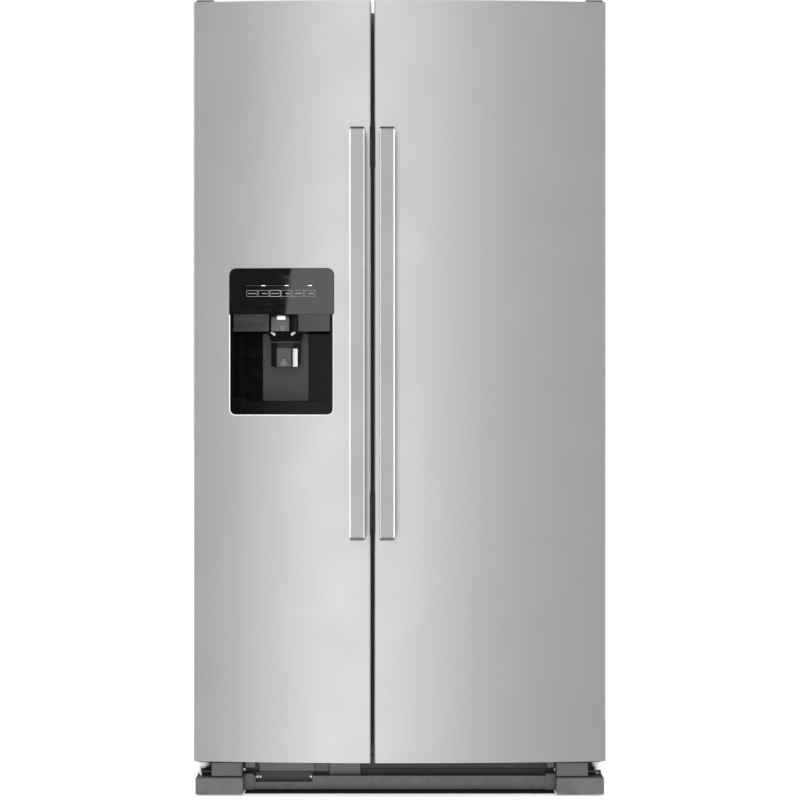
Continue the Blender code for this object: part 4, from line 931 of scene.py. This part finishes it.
# ---- Inside --------------------------------------------------------------------------------------
class BuildInside(bpy.types.Operator):
    """Finish the shelves, drawers, bins and ice maker"""

    bl_idname = "refrigerator.inside"
    bl_label = "Inside"

    def execute(self, context):
        for node in ("fridge_shelf_upper", "fridge_shelf_lower", "freezer_shelf", "crisper_cover"):
            restyled(node, 0.0008)
            self.shelf_trim(node)
        drawers = ("crisper_drawer_upper", "crisper_drawer_lower", "freezer_basket")
        for node in drawers:
            restyled(node, 0.0010)
            self.drawer_grip(node)
        for node in ("freezer_door_bin", "fridge_door_bin_lower", "fridge_door_bin_upper"):
            restyled(node, 0.0010)
            self.bin_rim(node)
        for node in ("ice_bin", "ice_maker", "evaporator_cover", "light_housing"):
            restyled(node, 0.0010)
        self.light_lens()
        return {"FINISHED"}

    def shelf_trim(self, node):
        low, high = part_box(node)
        trim = slab(
            node + "_trim",
            (low.x + 0.001, low.y - 0.0030, high.z - 0.0135),
            (high.x - 0.001, low.y - 0.0002, high.z + 0.0010),
            0.0010,
        )
        keep(trim, body_of(node), "white_moulding")

    def drawer_grip(self, node):
        """A moulded pull along the drawer's front."""
        low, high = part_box(node)
        centre = (low.x + high.x) / 2
        half = (high.x - low.x) * 0.28
        grip = slab(
            node + "_grip",
            (centre - half, low.y - 0.0130, high.z - 0.0260),
            (centre + half, low.y - 0.0002, high.z - 0.0040),
            0.0030,
            taper=((0, -1, 0), (0.94, 1, 0.6)),
            segments=3,
        )
        keep(grip, body_of(node), "clear_drawer")

    def bin_rim(self, node):
        low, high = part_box(node)
        rim = slab(
            node + "_rim",
            (low.x + 0.001, high.y - 0.0005, high.z - 0.0110),
            (high.x - 0.001, high.y + 0.0020, high.z + 0.0008),
            0.0008,
        )
        keep(rim, body_of(node), "white_moulding")

    def light_lens(self):
        low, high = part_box("light_housing")
        lens = slab(
            "light_lens",
            (low.x + 0.020, low.y + 0.020, low.z - 0.0030),
            (high.x - 0.020, high.y - 0.020, low.z - 0.0002),
            0.0010,
        )
        keep(lens, "cabinet", "work_light")


# ---- Machine compartment -------------------------------------------------------------------------
class BuildMachine(bpy.types.Operator):
    """Finish the compressor, coils, fan and water valve"""

    bl_idname = "refrigerator.machine"
    bl_label = "Machine compartment"

    def execute(self, context):
        restyled("compressor", 0.0008)
        restyled("condenser_coil", 0)
        restyled("evaporator_coil", 0, "copper_tube")
        restyled("fan_motor", 0.0006)
        restyled("condenser_fan", 0.0003, "cover_moulding")
        restyled("water_valve", 0.0010)
        low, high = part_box("compressor")
        centre = (low + high) / 2
        box = slab(
            "compressor_relay_box",
            (low.x - 0.004, centre.y - 0.028, low.z + 0.050),
            (low.x + 0.022, centre.y + 0.028, low.z + 0.105),
            0.0030,
            segments=3,
        )
        keep(box, "cabinet", "cover_moulding")
        return {"FINISHED"}


# ---- Stage ---------------------------------------------------------------------------------------
def lamp(name, spot, aim, width, height, radiance):
    """A rectangular soft light that gives off the same radiance at any size."""
    data = bpy.data.lights.new(name, "AREA")
    data.shape = "RECTANGLE"
    data.size, data.size_y = width, height
    data.energy = radiance * width * height * math.pi
    obj = bpy.data.objects.new(name, data)
    bpy.context.scene.collection.objects.link(obj)
    facing = (Vector(aim) - Vector(spot)).to_track_quat("-Z", "Y").to_matrix().to_4x4()
    obj.matrix_world = Matrix.Translation(spot) @ facing
    obj.visible_camera = False


class BuildStage(bpy.types.Operator):
    """Set the floor, the world, the lights and the camera"""

    bl_idname = "refrigerator.stage"
    bl_label = "Stage"

    def execute(self, context):
        self.floor()
        self.world()
        lamp("front_card", (-0.72, -7.0, 1.2), (-0.72, 0, 1.2), 1.68, 9.0, 1.52)
        lamp("left_card", (-4.2, -0.9, 1.3), (0, -0.9, 1.3), 3.4, 4.5, 1.0)
        lamp("right_card", (4.2, -0.9, 1.3), (0, -0.9, 1.3), 3.4, 4.5, 1.1)
        self.flag()
        lamp("top_card", (0, -0.6, 5.0), (0, 0, 0), 5.0, 5.0, 0.9)
        self.camera()
        context.scene.view_settings.view_transform = "Standard"
        return {"FINISHED"}

    def floor(self):
        bpy.ops.object.select_all(action="DESELECT")
        bpy.ops.mesh.primitive_plane_add(size=60, location=(0, 0, 0))
        obj = bpy.context.object
        obj.name = "studio_floor"
        obj.visible_glossy = False
        obj.visible_shadow = False
        look = Look("studio_floor")
        patch = look.noise(0.8, 2.0)
        obj.data.materials.append(
            look.finish(
                Base_Color=look.between(patch, (0.96, 0.96, 0.96), (0.98, 0.98, 0.98)),
                Roughness=0.8,
                Emission_Color=(1, 1, 1, 1),
                Emission_Strength=0.36,
            )
        )

    def flag(self):
        """A black flag beside the front card, which only reflections see."""
        bpy.ops.object.select_all(action="DESELECT")
        bpy.ops.mesh.primitive_plane_add(size=1, location=(0, 0, 0))
        obj = bpy.context.object
        obj.name = "black_flag"
        obj.matrix_world = (
            Matrix.Translation((-1.940, -6.9, 1.2))
            @ Matrix.Rotation(math.radians(7.5), 4, "Y")
            @ Matrix.Rotation(math.pi / 2, 4, "X")
            @ Matrix.Diagonal((1.05, 7.0, 1, 1))
        )
        look = Look("black_flag")
        cloth = look.noise(40.0, 2.0)
        shade = look.between(cloth, (0.001, 0.001, 0.001), (0.002, 0.002, 0.002))
        obj.data.materials.append(
            look.finish(Base_Color=shade, Roughness=1.0, Specular_IOR_Level=0.0)
        )
        for ray in ("camera", "diffuse", "shadow", "transmission"):
            setattr(obj, f"visible_{ray}", False)

    def world(self):
        """White where the camera looks, bright for soft light, and grey in reflections."""
        world = bpy.data.worlds.new("studio")
        bpy.context.scene.world = world
        world.use_nodes = True
        tree = world.node_tree
        tree.nodes.clear()
        path = tree.nodes.new("ShaderNodeLightPath")
        out = tree.nodes.new("ShaderNodeOutputWorld")
        shades = {}
        for name, level in (("camera", 1.0), ("soft", 1.05), ("gloss", 0.45)):
            shades[name] = tree.nodes.new("ShaderNodeBackground")
            shades[name].inputs["Color"].default_value = (level, level, level, 1)
        gloss = tree.nodes.new("ShaderNodeMixShader")
        tree.links.new(path.outputs["Is Glossy Ray"], gloss.inputs[0])
        tree.links.new(shades["soft"].outputs[0], gloss.inputs[1])
        tree.links.new(shades["gloss"].outputs[0], gloss.inputs[2])
        seen = tree.nodes.new("ShaderNodeMixShader")
        tree.links.new(path.outputs["Is Camera Ray"], seen.inputs[0])
        tree.links.new(gloss.outputs[0], seen.inputs[1])
        tree.links.new(shades["camera"].outputs[0], seen.inputs[2])
        tree.links.new(seen.outputs[0], out.inputs[0])

    def camera(self):
        data = bpy.data.cameras.new("view")
        obj = bpy.data.objects.new("view", data)
        bpy.context.scene.collection.objects.link(obj)
        obj.location = (0.0005, -3.907, 0.872)
        obj.rotation_euler = (math.pi / 2, 0, 0)
        # The view is 2 x 0.8774 m wide at the doors' fronts, 3.55 m from the camera.
        data.sensor_width = 36
        data.lens = data.sensor_width / (2 * 0.8774 / 3.55)
        bpy.context.scene.camera = obj


OPERATORS = (
    BuildDoors,
    BuildHandles,
    BuildCabinet,
    BuildBase,
    BuildDispenser,
    BuildInside,
    BuildMachine,
    BuildStage,
)


class RefrigeratorPanel(bpy.types.Panel):
    """Lists the steps that build the refrigerator"""

    bl_idname = "VIEW3D_PT_refrigerator"
    bl_label = "Refrigerator"
    bl_space_type = "VIEW_3D"
    bl_region_type = "UI"
    bl_category = "Refrigerator"

    def draw(self, context):
        for step in OPERATORS:
            self.layout.operator(step.bl_idname, text=step.bl_label)
        for group in (context.scene.refrigerator_sizes, context.scene.refrigerator_colours):
            for name in group.__annotations__:
                self.layout.prop(group, name)


CLASSES = (RefrigeratorSizes, RefrigeratorColours, *OPERATORS, RefrigeratorPanel)


def register():
    for cls in CLASSES:
        bpy.utils.register_class(cls)
    bpy.types.Scene.refrigerator_sizes = bpy.props.PointerProperty(type=RefrigeratorSizes)
    bpy.types.Scene.refrigerator_colours = bpy.props.PointerProperty(type=RefrigeratorColours)


def unregister():
    del bpy.types.Scene.refrigerator_colours
    del bpy.types.Scene.refrigerator_sizes
    for cls in reversed(CLASSES):
        bpy.utils.unregister_class(cls)


def main():
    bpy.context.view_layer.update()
    register()
    for step in OPERATORS:
        group, name = step.bl_idname.split(".")
        getattr(getattr(bpy.ops, group), name)()


if __name__ == "__main__":
    main()
